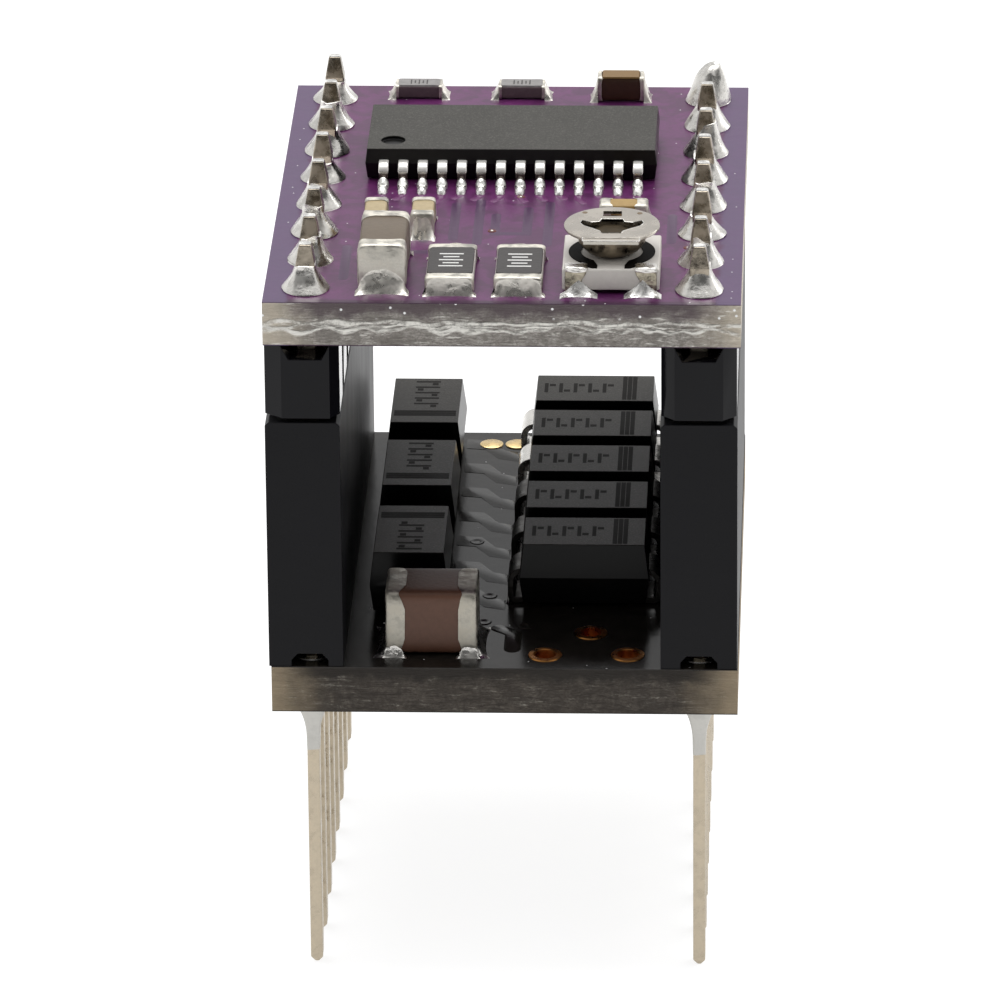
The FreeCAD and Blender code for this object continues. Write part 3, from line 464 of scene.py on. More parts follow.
def mask_relief(name, mask, roughness, specular):
    """Solder mask over a copper track."""
    relief = Finish(name, mask, roughness, specular)
    relief.colour(relief.mix(relief.noise(2.0, 3.0), mask, shade(mask, 1.35)))
    relief.bump(relief.noise(5.0, 3.0), 0.004)
    return relief.material


def moulding_plastic(name, colour, roughness, specular, grain=0.004):
    """Moulded plastic: slight flow marks and a fine grain."""
    plastic = Finish(name, colour, roughness, specular)
    flow = plastic.noise(0.8, 3.0, stretch=(1, 1, 0.35))
    plastic.colour(plastic.mix(flow, shade(colour, 0.75), shade(colour, 1.3)))
    plastic.roughness(plastic.mix(flow, grey(roughness * 0.85), grey(roughness * 1.2)))
    plastic.bump(plastic.noise(14.0, 4.0, 0.6), grain)
    plastic.bump(plastic.noise(0.7, 2.0), grain * 5)
    return plastic.material


def epoxy(name, side, top, level, speck, gloss, matte=0.62):
    """Filled epoxy: smooth dark sides, and a paler matte top with specks of filler.

    level is the height above which the top's finish is seen, gloss the specular level and matte the
    roughness of the top.
    """
    case = Finish(name, side, 0.3, gloss)
    on_top = case.fade(case.axis("Z"), level - 0.03, level - 0.005)
    specks = case.ramp(case.noise(16.0, 2.0, 0.7), (0.50, 0.0), (0.74, 1.0))
    patches = case.noise(0.6, 3.0)
    ground = case.mix(patches, shade(top, 0.78), shade(top, 1.20))
    ground = case.mix(specks, ground, speck)
    case.colour(case.mix(on_top, side, ground))
    case.roughness(case.mix(on_top, grey(0.30), grey(matte)))
    relief = case.noise(18.0, 3.0, 0.65)
    case.bump(case.mix(on_top, grey(0.5), relief), 0.008)
    case.bump(case.noise(2.0, 3.0), 0.006)
    return case.material


def metal(name, colour, roughness, tone=0.85, wrinkle=0.01, scale=3.0, lines=None, metallic=1.0):
    """Plated or soldered metal: uneven tone and gloss, with slight waves."""
    plate = Finish(name, colour, roughness, metallic=metallic)
    uneven = plate.ramp(plate.noise(scale, 4.0, 0.6), (0.38, 0.0), (0.60, 1.0))
    plate.colour(plate.mix(uneven, shade(colour, tone), colour))
    plate.roughness(plate.mix(uneven, grey(roughness * 0.7), grey(roughness * 1.4)))
    plate.bump(plate.noise(scale * 1.3, 3.0), wrinkle)
    if lines:
        plate.bump(plate.noise(6.0, 3.0, 0.7, stretch=lines), wrinkle * 0.5)
    return plate.material


def lead_with_painted_shade(name, colour, shade_tone, low, high):
    """Plated metal, matte on top, with a dull band of painted shade between two heights."""
    lead = Finish(name, colour, 0.26, metallic=1.0)
    height = lead.axis("Z")
    shoulder = lead.times(lead.fade(height, high - 0.04, high + 0.04), 0.55)
    lead.wire(lead.calculate("SUBTRACT", 1.0, shoulder), lead.shader.inputs["Metallic"])
    # The band between the two heights is painted shade: the lead's upright run coloured dark as if in shadow
    lowered = lead.calculate("SUBTRACT", height, 0.04)
    wavy = lead.calculate("MULTIPLY_ADD", lead.noise(4.0, 2.0), 0.08, lowered)
    band = lead.times(lead.fade(wavy, low, low + 0.04), lead.fade(wavy, high, high - 0.10))
    lead.colour(lead.mix(band, colour, shade_tone))
    lead.bump(lead.noise(4.0, 3.0), 0.010)
    return lead.material


def fired(name, colour, roughness, mottling=0.2, specular=0.35):
    """Fired ceramic: a fine mottle and a slightly rippled skin."""
    body = Finish(name, colour, roughness, specular)
    mottle = body.noise(5.0, 4.0, 0.65)
    body.colour(body.mix(mottle, shade(colour, 1 - mottling), shade(colour, 1 + mottling)))
    body.bump(body.noise(7.0, 3.0), 0.008)
    return body.material


purple_board = laminate(
    "purple_board", (driver_low, driver_high), (0.095, 0.016, 0.086), (0.30, 0.42),
    ((0.14, 0.125, 0.11), (0.38, 0.355, 0.325), (0.90, 0.88, 0.82), (0.66, 0.58, 0.46)), 0.95,
    (0.085, 0.048, 0.120))
purple_track = mask_relief("purple_track", (0.105, 0.019, 0.092), 0.30, 0.42)
bare_mask = mask_relief("bare_mask", (0.052, 0.018, 0.058), 0.30, 0.42)
via_rim = mask_relief("via_rim", (0.10, 0.018, 0.010), 0.30, 0.42)
black_board = laminate(
    "black_board", (smoother_low, smoother_high), (0.019, 0.0165, 0.0140), (0.18, 0.25),
    ((0.030, 0.024, 0.019), (0.086, 0.073, 0.060), (0.30, 0.28, 0.24), (0.44, 0.35, 0.23)), 0.0)
black_track = mask_relief("black_track", (0.021, 0.0185, 0.0155), 0.19, 0.25)
BLACK_PLASTIC = (0.0045, 0.0045, 0.0058)
black_moulding = moulding_plastic("black_moulding", BLACK_PLASTIC, 0.42, 0.15)
strip_plastic = moulding_plastic("strip_plastic", BLACK_PLASTIC, 0.07, 0.15, 0.0006)
case_epoxy = epoxy(
    "case_epoxy", (0.0035, 0.0032, 0.003), (0.050, 0.048, 0.043), IC_TOP, (0.105, 0.10, 0.090), 0.25)
diode_epoxy = epoxy(
    "diode_epoxy", grey(0.003), (0.040, 0.037, 0.032), DIODE_TOP, (0.085, 0.080, 0.070), 0.17, 0.40)
laser_mark = moulding_plastic("laser_mark", (0.016, 0.0145, 0.013), 0.55, 0.06)
white_ink = fired("white_ink", (0.72, 0.72, 0.70), 0.6, 0.08)
tail_metal = metal("tail_metal", (0.52, 0.45, 0.345), 0.34, 0.80, 0.010, lines=(1, 1, 0.1))
# Painted shade: a dark lead metal for the diodes whose leads lie in shadow
lead_painted_shade = metal("lead_painted_shade", (0.085, 0.08, 0.075), 0.35, 0.6, 0.012)
tail_tin = metal("tail_tin", (0.53, 0.52, 0.49), 0.40, 0.80, 0.012, 2.5)
pin_metal = metal("pin_metal", (0.44, 0.385, 0.31), 0.26, 0.36, 0.014, 1.9)
# The formed leads' dark band is painted shade over their upright run
formed_lead = lead_with_painted_shade(
    "formed_lead", (0.90, 0.88, 0.84), (0.10, 0.085, 0.075), DRIVER_TOP + 0.18, DRIVER_TOP + 0.50)
lead_metal = metal("lead_metal", (0.78, 0.76, 0.72), 0.28, 0.85, 0.008)
solder = metal("solder", (0.80, 0.78, 0.74), 0.27, 0.76, 0.034, 2.6)
end_cap = metal("end_cap", (0.69, 0.66, 0.59), 0.46, 0.62, 0.022, 2.4)
bulk_cap = metal("bulk_cap", (0.56, 0.53, 0.46), 0.48, 0.50, 0.022, 2.2)
joint_metal = metal("joint_metal", (0.78, 0.75, 0.69), 0.32, 0.74, 0.030, 2.6, metallic=0.9)
bright_joint = metal("bright_joint", (0.90, 0.89, 0.86), 0.26, 0.62, 0.040, 3.2, metallic=0.70)
rotor_metal = metal("rotor_metal", (0.53, 0.49, 0.435), 0.24, 0.93, 0.008, 1.2)
# Painted shade: a darker copy of the rotor metal for the hub cup under the disc
rotor_painted_shade = metal("rotor_painted_shade", (0.27, 0.225, 0.165), 0.36, 0.50, 0.03, 2.4)
terminal_metal = metal("terminal_metal", (0.44, 0.40, 0.31), 0.28, 0.22, 0.05, 2.6)
flux = fired("flux", (0.16, 0.11, 0.06), 0.4)
copper_land = metal("copper_land", (0.62, 0.28, 0.08), 0.34, 0.7, 0.010)
gold_land = metal("gold_land", (0.80, 0.60, 0.30), 0.30, 0.9, 0.008)
silicon = metal("silicon", (0.35, 0.36, 0.40), 0.25, 0.9, 0.004)
ceramic_cream = fired("ceramic_cream", (0.42, 0.335, 0.195), 0.45)
ceramic_tan = fired("ceramic_tan", (0.36, 0.23, 0.075), 0.42)
# Lit and shaded copies of the back capacitor's ceramic: painted light on its top, painted shade on its sides
ceramic_amber_lit = fired("ceramic_amber_lit", (0.20, 0.115, 0.035), 0.42)
ceramic_dark_shaded = fired("ceramic_dark_shaded", (0.045, 0.018, 0.007), 0.42, 0.3)
ceramic_brown = fired("ceramic_brown", (0.105, 0.048, 0.029), 0.45, 0.22)
ceramic_grey = fired("ceramic_grey", (0.135, 0.104, 0.073), 0.42)
white_ceramic = fired("white_ceramic", (0.62, 0.59, 0.55), 0.50, 0.08)
slab_shadow = fired("slab_shadow", (0.12, 0.085, 0.095), 0.45, 0.3)
# Painted reflection: a pale glaze standing for the bright sky mirrored in the back resistors' dark overglaze
glaze_painted_reflection = fired("glaze_painted_reflection", (0.25, 0.24, 0.235), 0.45, 0.4)
overglaze = fired("overglaze", (0.040, 0.035, 0.034), 0.42, 0.2)
track_ink = moulding_plastic("track_ink", (0.004, 0.003, 0.0025), 0.5, 0.04)
# Painted shade: the dark of the recess under the rotor, put on the pivot
pivot_painted_shade = fired("pivot_painted_shade", (0.055, 0.042, 0.026), 0.5, 0.5, 0.08)


# ---- Boards ----

def add_track(shape, points, width, z, thickness=0.03):
    """A copper track under the mask: a ribbon along the points with round ends."""
    line = [Vector(point) for point in points]
    directions = [(b - a).normalized() for a, b in zip(line, line[1:])]
    rings = []
    for half, level in ((width / 2 + 0.03, z), (width / 2, z + thickness)):
        left, right = [], []
        for i, point in enumerate(line):
            before, after = directions[max(i - 1, 0)], directions[min(i, len(directions) - 1)]
            across = Vector((-(before + after).y, (before + after).x)).normalized()
            stretch = 1 / max(across.dot(Vector((-after.y, after.x))), 0.5)
            left.append(point + across * half * stretch)
            right.append(point - across * half * stretch)
        outline = right + round_end(line[-1], directions[-1], half)
        outline += list(reversed(left)) + round_end(line[0], -directions[0], half)
        rings.append([Vector((p.x, p.y, level)) for p in outline])
    add_loft(shape, rings)


def round_end(point, direction, half):
    """The arc round the end of a track."""
    base = math.atan2(direction.y, direction.x)
    turns = [math.radians(step) for step in (-60, -30, 0, 30, 60)]
    return [point + Vector((math.cos(base + t), math.sin(base + t))) * half for t in turns]


def add_via(shape, x, y, z, radius=0.26):
    """A tented via: a low ring with a dimple."""
    profile = [(0.005, z + 0.004), (radius * 0.35, z + 0.006), (radius * 0.62, z + 0.034),
               (radius * 0.86, z + 0.030), (radius, z)]
    add_lathe(shape, profile, x, y, 20)


# Open vias of the driver board, and the gaps between its copper areas, in x, y
OPEN_VIAS = [(0.30, -0.52), (-0.54, -3.67), (5.9, -5.1)]
COPPER_GAPS = [
    [(-2.75, -0.9), (-2.75, -4.6)],
    [(-1.8, -1.2), (-1.8, -4.4)],
    [(-1.0, -0.9), (-1.0, -4.8)],
    [(-0.45, -2.2), (-0.45, -3.9), (0.6, -3.9), (0.6, -1.6)],
    [(1.3, -1.1), (1.3, -4.9)],
    [(-5.2, -8.0), (-5.2, -5.2)],
    [(5.35, -4.6), (5.35, -2.2)],
    [(-3.9, -5.6), (-2.2, -5.6), (-1.4, -6.0)],
]


def driver_tracks():
    """Tracks that fan out from the driver IC, the vias they end in, and the gaps in the copper."""
    z = DRIVER_TOP
    fan = bmesh.new()
    for i, x in enumerate(LEAD_XS):
        side = -1 if i < LEADS / 2 else 1
        rank = min(i, LEADS - 1 - i)
        run = 0.30 + 0.12 * (rank % 4)
        add_track(fan, [(x, 0.1), (x, -run), (x + side * 0.18, -run - 0.34)], 0.22, z, 0.012)
        if i % 3 != 1:
            back = 6.7 + 0.16 * (rank % 5)
            finish = (x + side * 0.35, back + 0.35)
            add_track(fan, [(x, 6.3), (x, back), finish], 0.22, z, 0.012)
            add_via(fan, *finish, z, 0.2)
    gaps, rims, beads = bmesh.new(), bmesh.new(), bmesh.new()
    for line in COPPER_GAPS:
        add_track(gaps, line, 0.26, z, 0.004)
    for x, y in OPEN_VIAS:
        add_lathe(rims, [(0.05, z), (0.07, z + 0.02), (0.13, z + 0.022), (0.15, z)], x, y, 20, closed=True)
        add_lathe(beads, [(0.055, z), (0.045, z + 0.03), (0.005, z + 0.042)], x, y, 12)
    piece("driver_tracks", fan, purple_track, DRIVER)
    piece("driver_gaps", gaps, bare_mask, DRIVER)
    piece("driver_vias", rims, via_rim, DRIVER)
    piece("via_solder", beads, solder, DRIVER)


def smoother_tracks():
    """Broad copper areas of the lower board, seen between the diodes."""
    shape = bmesh.new()
    z = SMOOTHER_TOP
    for i in range(7):
        y = 8.6 - 2.15 * i
        plate = [(-2.0, y + 0.10), (-1.35, y), (-0.85, y - 0.85), (-0.15, y - 1.10), (-0.15, y - 0.25),
                 (-0.65, y - 0.05), (-1.15, y + 0.80), (-2.0, y + 0.95)]
        add_prism(shape, plate, z, z + 0.010, inset=0.07)
    for x, y in ((0.56, -6.69), (-0.81, -6.38), (-0.7, -4.2), (-1.3, 0.4)):
        add_via(shape, x, y, z)
    add_track(shape, [(-0.3, -6.9), (0.2, -7.3), (0.2, -8.6)], 0.5, z, 0.02)
    piece("smoother_tracks", shape, black_track, SMOOTHER)


def plated_holes(name, places, body, hole, land, material, nodes=()):
    """The copper of a board's holes, by their radii: a barrel and a land on each face."""
    board = (smoother_low, smoother_high) if body == SMOOTHER else (driver_low, driver_high)
    low, high = (corner.z for corner in board)
    copper = 0.05
    profile = [
        (hole, low - copper), (land - 0.02, low - copper), (land, low), (hole + 0.04, low),
        (hole + 0.04, high), (land, high), (land - 0.02, high + copper * 0.7),
        (hole + 0.03, high + copper), (hole, high + copper * 0.6),
    ]
    shape = bmesh.new()
    for x, y in places:
        add_lathe(shape, profile, x, y, 40, closed=True)
    piece(name, shape, material, body, nodes)


def copper():
    """Plated holes and test pads of both boards; the pins' lands are tinned."""
    wire_holes = [(2.75, -7.23), (1.3, -9.06), (4.01, -9.01)]
    plated_holes("smoother_wire_holes", wire_holes, SMOOTHER, 0.36, 0.56, copper_land)
    pads = bmesh.new()
    z = SMOOTHER_TOP
    for x, y in ((-1.14, 9.07), (-0.26, 9.08)):
        add_lathe(pads, [(0.4, z), (0.4, z + 0.035), (0.37, z + 0.05), (0.01, z + 0.05)], x, y)
    piece("smoother_test_pads", pads, gold_land, SMOOTHER)
    pins = [(x, y) for x in ROWS.values() for y in PIN_YS]
    plated_holes("smoother_pin_lands", pins, SMOOTHER, 0.46, 0.76, solder, ["smoother_pads"])
    plated_holes("driver_pin_lands", pins, DRIVER, 0.46, 0.76, solder, ["driver_pads"])


paint("driver_pcb", purple_board)
paint("smoother_pcb", black_board)
driver_tracks()
smoother_tracks()
copper()


# ---- Sockets, strips and pins ----

SIXTEENTHS = [k / 16 for k in range(17)]    # steps up or down a cone of solder


def add_pin_solder(shape, x, y, seed, hood=0.0):
    """Solder round a pin: a hollow cone from round at the board to square at the pin.

    hood makes it fuller: at 1 it is a lump with a pointed top that buries the pin.
    """
    chance = random.Random(seed)
    foot = chance.uniform(0.74, 0.79)
    climb = chance.uniform(0.62, 0.90) * (1 - hood) + 1.32 * hood
    lean = Vector((chance.uniform(-0.06, 0.06) + 0.10 * hood, chance.uniform(-0.06, 0.06), 0))
    top_half = 0.335 * (1 - hood) + 0.10 * hood
    hollow = 1.75 * (1 - hood) + 0.55 * hood
    rings = []
    for t in SIXTEENTHS:
        half = top_half + (foot - top_half) * (1 - t) ** hollow
        ring = []
        for u, v in superellipse(half, half, 2 + 3.5 * t * (1 - hood), 32):
            wander = noise.noise(Vector((u * 1.6 + seed * 7, v * 1.6, t * 1.5)))
            stray = 1 + (0.12 + 0.16 * hood) * wander * (0.4 + t) * (1 - 0.7 * t)
            lift = climb * t * (1 + 0.26 * noise.noise(Vector((u * 2.5, v * 2.5, seed * 3.1))) * t)
            ring.append(Vector((x, y, DRIVER_TOP + 0.045 + lift)) + Vector((u, v, 0)) * stray + lean * t)
        rings.append(ring)
    crown = rings[-1]
    middle = sum(crown, Vector()) / len(crown)
    for share in (0.93, 0.80):      # a rounded end
        rings.append([middle + (p - middle) * share + Vector((0, 0, 0.015)) for p in crown])
    add_loft(shape, rings)


def add_tail_solder(shape, x, y, seed):
    """Solder under the lower board: a cone that narrows to a thin coat on the flat tail."""
    chance = random.Random(seed + 50)
    length = chance.uniform(1.62, 1.86)
    foot = chance.uniform(0.57, 0.63)
    rings = []
    for t in SIXTEENTHS:
        spread = (1 - min(1, t / 0.75)) ** 2.2
        coat = 0.035 * (1 - t) + 0.012
        half_x = 0.20 + coat + (foot - 0.20) * spread
        half_y = 0.32 + coat + (foot - 0.32) * spread
        power = 2 + 6 * min(1, t * 1.6)
        ring = []
        for u, v in superellipse(half_x, half_y, power, 32):
            wander = noise.noise(Vector((u * 2 + seed, v * 2, t * 3)))
            stray = 1 + 0.06 * wander * spread
            ragged = 0.10 * noise.noise(Vector((u * 3, v * 3, seed * 1.7))) if t == 1 else 0
            drop = length * t * (1 + ragged)
            ring.append(Vector((x + u * stray, y + v * stray, smoother_low.z - 0.04 - drop)))
        rings.append(ring)
    add_loft(shape, rings)


def leaning(outer, inner):
    """Moves the walls of the left row's plastic: its outer wall by one step, its inner by another."""
    def move(point):
        away = point.x + ROW_X
        if abs(away) < 1.0:
            return point
        return point + Vector((outer if away < 0 else inner, 0, 0))
    return move


def cut_short(point):
    """The right row's last pin ends inside its blob of solder."""
    if point.y > PIN_YS[-1] - 1 and point.z > pin_high.z - 0.8:
        return point - Vector((0, 0, 0.5))
    return point


# How full the solder of some pins is, by the pin's place from the front
HOODS = {"left": {}, "right": {7: 1.0, 6: 0.45, 5: 0.35}}
TIP_HALVES = (0.20, 0.15)       # half the size of a pin's bright, sheared tip in x and y

for side, x in ROWS.items():
    left = side == "left"
    refined(f"{side}_socket_housing", 0.05, black_moulding, moved=leaning(-0.09, -0.16) if left else None)
    refined(f"{side}_pin_strip", 0.06, strip_plastic, moved=leaning(-0.115, -0.14) if left else None)
    refined(f"{side}_socket_contacts", 0.04, tail_metal)
    refined(f"{side}_header_pins", 0.05, pin_metal, moved=None if left else cut_short)
    tips = bmesh.new()
    for y in PIN_YS if left else PIN_YS[:-1]:
        tip = [(x + u, y + v) for u, v in superellipse(*TIP_HALVES, 3.5, 24)]
        add_prism(tips, tip, pin_high.z - 0.03, pin_high.z + 0.012, inset=0.01)
    piece(f"{side}_pin_tips", tips, bright_joint, DRIVER)
    cones = bmesh.new()
    coats = bmesh.new()
    for i, y in enumerate(PIN_YS):
        number = i + (20 if side == "right" else 0)
        add_pin_solder(cones, x, y, number, HOODS[side].get(i, 0.0))
        add_tail_solder(coats, x, y, number)
    piece(f"{side}_pin_solder", cones, solder, DRIVER, [f"{side}_header_solder"])
    piece(f"{side}_tail_coat", coats, tail_tin, SMOOTHER, [f"{side}_tail_solder"])


# ---- Solder heels of flat parts ----

def add_heel(width, reach, climb, seed=0, flare=0.12, peak=3.2, hollow=2.4):
    """Solder against x = 0 that runs down along +X to its pad in a hollow curve.

    It runs out furthest at the pad's corners and is highest in the middle; a peak below 2 makes it a
    tent. hollow is 1 for a straight slope.
    """
    rings = []
    across, along = 24, 12
    crest = 0.7 if peak > 2 else 1.15
    for j in range(across + 1):
        u = -1 + 2 * j / across
        corner = abs(u) ** 3 * min(1, (hollow - 1) * 1.4)
        wobble = 0.12 * noise.noise(Vector((u * 1.9, seed * 2.3, 0.5)))
        height = climb * (0.16 + 0.84 * max(0, 1 - abs(u) ** peak) ** crest) * (1 + wobble)
        out = reach * (0.62 + 0.38 * corner) * (1 - 0.5 * wobble)
        curve = 1 + (hollow - 1) * (0.30 + 0.70 * corner)
        ring = [Vector((-0.02, u * width / 2 * (1 + flare), 0))]
        for i in range(along + 1):
            v = i / along
            spread = 1 + flare * (1 - v) ** 2
            ripple = 0.012 * noise.noise(Vector((u * 4, v * 3, seed * 1.3))) * math.sin(math.pi * v)
            run = out * (1 - v) ** curve + ripple
            ring.append(Vector((run, u * width / 2 * spread, height * v ** 1.15 + ripple)))
        ring.append(Vector((-0.02, u * width / 2, height)))
        rings.append(ring)
    return add_loft(bmesh.new(), rings)


def heels(place, turn, half_length, width, climb, reach, seed, hollow=2.3, peak=3.2):
    """A heel at each end of a part that lies along X before it is turned."""
    shapes = []
    for end in (0, 180):
        heel = add_heel(width, reach, climb, seed + end / 90, peak=peak, hollow=hollow)
        bmesh.ops.translate(heel, vec=(half_length, 0, 0), verts=heel.verts)
        shapes.append(settle(heel, *place, turn + end))
    return shapes


# ---- Chip parts ----

def add_block(half_length, half_width, height, corner=0.06):
    """A fired block along X with softly rounded edges, standing on z = 0."""
    section = superellipse(half_width, height / 2, 9, 40)
    near_end = [(half_length, 0.036), (half_length - 0.02, 0.018), (half_length - corner, 0.0)]
    rings = []
    for x, shrink in [(-x, shrink) for x, shrink in near_end] + near_end[::-1]:
        scale_y = 1 - shrink / half_width
        scale_z = 1 - shrink / (height / 2)
        rings.append([Vector((x, u * scale_y, height / 2 + v * scale_z)) for u, v in section])
    return add_loft(bmesh.new(), rings)


def add_end_cap(half_length, half_width, height, band, bow, seed):
    """The metal sock on the +X end of a chip; its inner edge bows and wanders a little."""
    section = superellipse(half_width, height / 2, 7, 48)

    def edge(u, v):
        """How far in from the end the metal reaches, round the section."""
        across = (u / half_width) ** 2 if abs(v) > height * 0.45 else (v * 2 / height) ** 2
        wander = noise.noise(Vector((u * 2.2, v * 2.2, seed * 1.9)))
        return band * (1 + bow * (across - 0.6) + 0.10 * wander)

    rings = []
    for share, swell in ((1.0, -0.03), (1.0, 0.0), (0.75, 0.004), (0.45, 0.006), (0.2, 0.004)):
        grow = 1 + swell / max(half_width, height / 2)
        rings.append([Vector((half_length - edge(u, v) * share, u * grow, height / 2 + v * grow))
                      for u, v in section])
    for inset, shrink in ((0.05, 0.010), (0.018, 0.035), (0.0, 0.075)):
        grow_u = 1 - shrink / half_width
        grow_v = 1 - shrink / (height / 2)
        rings.append([Vector((half_length - inset, u * grow_u, height / 2 + v * grow_v)) for u, v in section])
    return add_loft(bmesh.new(), rings)


# Sizes in millimetres, and the turn about +Z in degrees; band is how far the end caps reach in
Chip = namedtuple("Chip", "length width height band x y turn")
SUPPLY = Chip(3.2, 1.6, 1.6, 0.62, -3.88, -7.55, 90)
SMALL = [
    Chip(1.6, 0.8, 0.85, 0.36, -4.35, -3.55, 90),
    Chip(1.6, 0.8, 0.85, 0.36, -2.8, -3.5, 90),
    Chip(1.6, 0.8, 0.85, 0.42, 3.77, -3.05, 0),
]
BACK_RESISTORS = [Chip(1.6, 0.8, 0.5, 0.12, x, 9.2, 0) for x in (-3.5, 0.0)]
BACK_CAPACITOR = Chip(1.6, 0.8, 0.9, 0.16, 3.38, 9.0, 0)
SENSE = [Chip(3.1, 1.6, 0.6, 0.42, x, -7.85, 90) for x in (-1.7, 0.52)]
BULK = Chip(3.0, 2.35, 2.3, 0.52, -2.42, -8.1, 0)
TRIMMER = (3.5, -7.7)


def chip(part, z, seed, bow=0.35):
    """Body block and both end caps of one chip, as drawings."""
    block = add_block(part.length / 2 - 0.04, part.width / 2 - 0.035, part.height - 0.07)
    settle(block, part.x, part.y, z + 0.035, part.turn)
    sock = (part.length / 2, part.width / 2 - 0.008, part.height - 0.012, part.band, bow)
    caps = []
    for end in (0, 180):
        cap = add_end_cap(*sock, seed + end)
        caps.append(settle(cap, part.x, part.y, z + 0.004, part.turn + end))
    return block, caps


def chip_solder(part, z, seed, hollow=2.3, peak=3.2):
    """The two solder heels of a chip; those of low parts climb to the top."""
    reach = 0.42 if part.height > 1 else 0.22 if part.width > 1 else 0.38
    climb = min(part.height * 0.92, 0.72)
    place = (part.x, part.y, z)
    return heels(place, part.turn, part.length / 2, part.width * 0.97, climb, reach, seed, hollow, peak)


def capacitor(part, z, name, materials, body, nodes, seed, bow=0.35):
    """A capacitor whose block and caps stand for a node each."""
    block, caps = chip(part, z, seed, bow)
    piece(f"{name}_block", block, materials[0], body, [f"{nodes}_body"])
    piece(f"{name}_caps", merged(caps), materials[1], body, [f"{nodes}_terminations"])


def resistor(part, z, seed):
    """A white alumina slab with a dark overglaze on top and generic printed bars."""
    block, caps = chip(part, z, seed, 0.1)
    glaze = bmesh.new()
    outline = superellipse(part.length / 2 - part.band + 0.05, part.width / 2 - 0.06, 14, 40)
    add_prism(glaze, outline, part.height - 0.05, part.height, inset=0.03)
    marks = bmesh.new()
    scale = part.width / 1.6
    for k, size in enumerate((0.78, 0.52, 0.78, 0.52, 0.78)):
        u = (k - 2) * 0.27 * scale
        half_u, half_v = 0.045 * scale, size / 2 * scale
        add_box(marks, (u - half_u, -half_v, part.height - 0.01), (u + half_u, half_v, part.height + 0.004))
    for shape in (glaze, marks):
        settle(shape, part.x, part.y, z, part.turn)
    return block, caps, glaze, marks


def small_capacitors():
    """The three small capacitors near the IC; gives back their solder."""
    blocks, caps, joints = [], [], []
    for i, part in enumerate(SMALL):
        block, ends = chip(part, DRIVER_TOP, i + 20)
        blocks.append(block)
        caps += ends
        joints += chip_solder(part, DRIVER_TOP, i + 4)
    piece("cream_blocks", merged(blocks[:2]), ceramic_cream, DRIVER, ["small_capacitor_bodies"])
    piece("tan_block", blocks[2], ceramic_tan, DRIVER)
    piece("small_caps", merged(caps), end_cap, DRIVER, ["small_capacitor_terminations"])
    return joints


def back_row():
    """The capacitor and two resistors at the back edge; gives back their solder."""
    part = BACK_CAPACITOR
    block, caps = chip(part, DRIVER_TOP, 31)
    # The back capacitor: its block in painted shade, and a thin lid of painted light on its top
    piece("back_tan_block", block, ceramic_dark_shaded, DRIVER, ["back_capacitor_body"])
    joints = chip_solder(part, DRIVER_TOP, 12, 1.15)
    lit_lid = bmesh.new()
    outline = superellipse(part.length / 2 - part.band, part.width / 2 - 0.04, 14, 40)
    add_prism(lit_lid, outline, part.height - 0.05, part.height + 0.003, inset=0.02)
    piece("back_tan_lit_top", settle(lit_lid, part.x, part.y, DRIVER_TOP), ceramic_amber_lit, DRIVER)
    blocks, glazes, marks = [], [], []
    for i, part in enumerate(BACK_RESISTORS):
        block, ends, glaze, bars = resistor(part, DRIVER_TOP, i + 40)
        blocks.append(block)
        glazes.append(glaze)
        marks.append(bars)
        caps += ends
        joints += chip_solder(part, DRIVER_TOP, i + 14, 1.15)
    # The back resistors' glaze is a painted reflection: pale, as if mirroring the bright sky behind
    piece("back_glaze", merged(glazes), glaze_painted_reflection, DRIVER)
    piece("back_marks", merged(marks), overglaze, DRIVER)
    piece("back_slabs", merged(blocks), slab_shadow, DRIVER, ["back_resistor_bodies"])
    piece("back_caps", merged(caps), end_cap, DRIVER, ["back_row_terminations"])
    return joints


def sense_resistors():
    """The two sense resistors at the front edge; gives back their solder."""
    caps, glazes, marks, joints = [], [], [], []
    for i, part in enumerate(SENSE, start=1):
        block, ends, glaze, bars = resistor(part, DRIVER_TOP, i + 60)
        piece(f"sense_slab_{i}", block, white_ceramic, DRIVER, [f"sense_resistor_{i}_body"])
        caps += ends
        glazes.append(glaze)
        marks.append(bars)
        joints += chip_solder(part, DRIVER_TOP, i + 18, 2.0, 9.0)
    piece("sense_caps", merged(caps), end_cap, DRIVER, ["sense_resistor_terminations"])
    piece("resistor_glaze", merged(glazes), overglaze, DRIVER)
    piece("resistor_marks", merged(marks), white_ink, DRIVER)
    return joints


def chips():
    """Every chip part of both boards, and the driver board's solder."""
    capacitor(SUPPLY, DRIVER_TOP, "supply", (ceramic_grey, end_cap), DRIVER, "supply_capacitor", 3)
    capacitor(BULK, SMOOTHER_TOP, "bulk", (ceramic_brown, bulk_cap), SMOOTHER, "smoother_capacitor", 9, -0.6)
    joints = chip_solder(SUPPLY, DRIVER_TOP, 1) + small_capacitors() + back_row() + sense_resistors()
    feet = []
    for offset in (-1.03, 1.03):
        heel = add_heel(0.96, 0.42, 0.52, offset * 5, flare=0.26, peak=1.0, hollow=1.8)
        feet.append(settle(heel, TRIMMER[0] + offset, TRIMMER[1] - 1.60, DRIVER_TOP, -90))
    piece("trimmer_feet", merged(feet), bright_joint, DRIVER)
    wiper_foot = add_heel(1.3, 0.4, 0.4, 5)
    joints.append(settle(wiper_foot, TRIMMER[0], TRIMMER[1] + 1.57, DRIVER_TOP, 90))
    piece("driver_joints", merged(joints), joint_metal, DRIVER, ["driver_solder"])


chips()


# ---- Driver IC ----

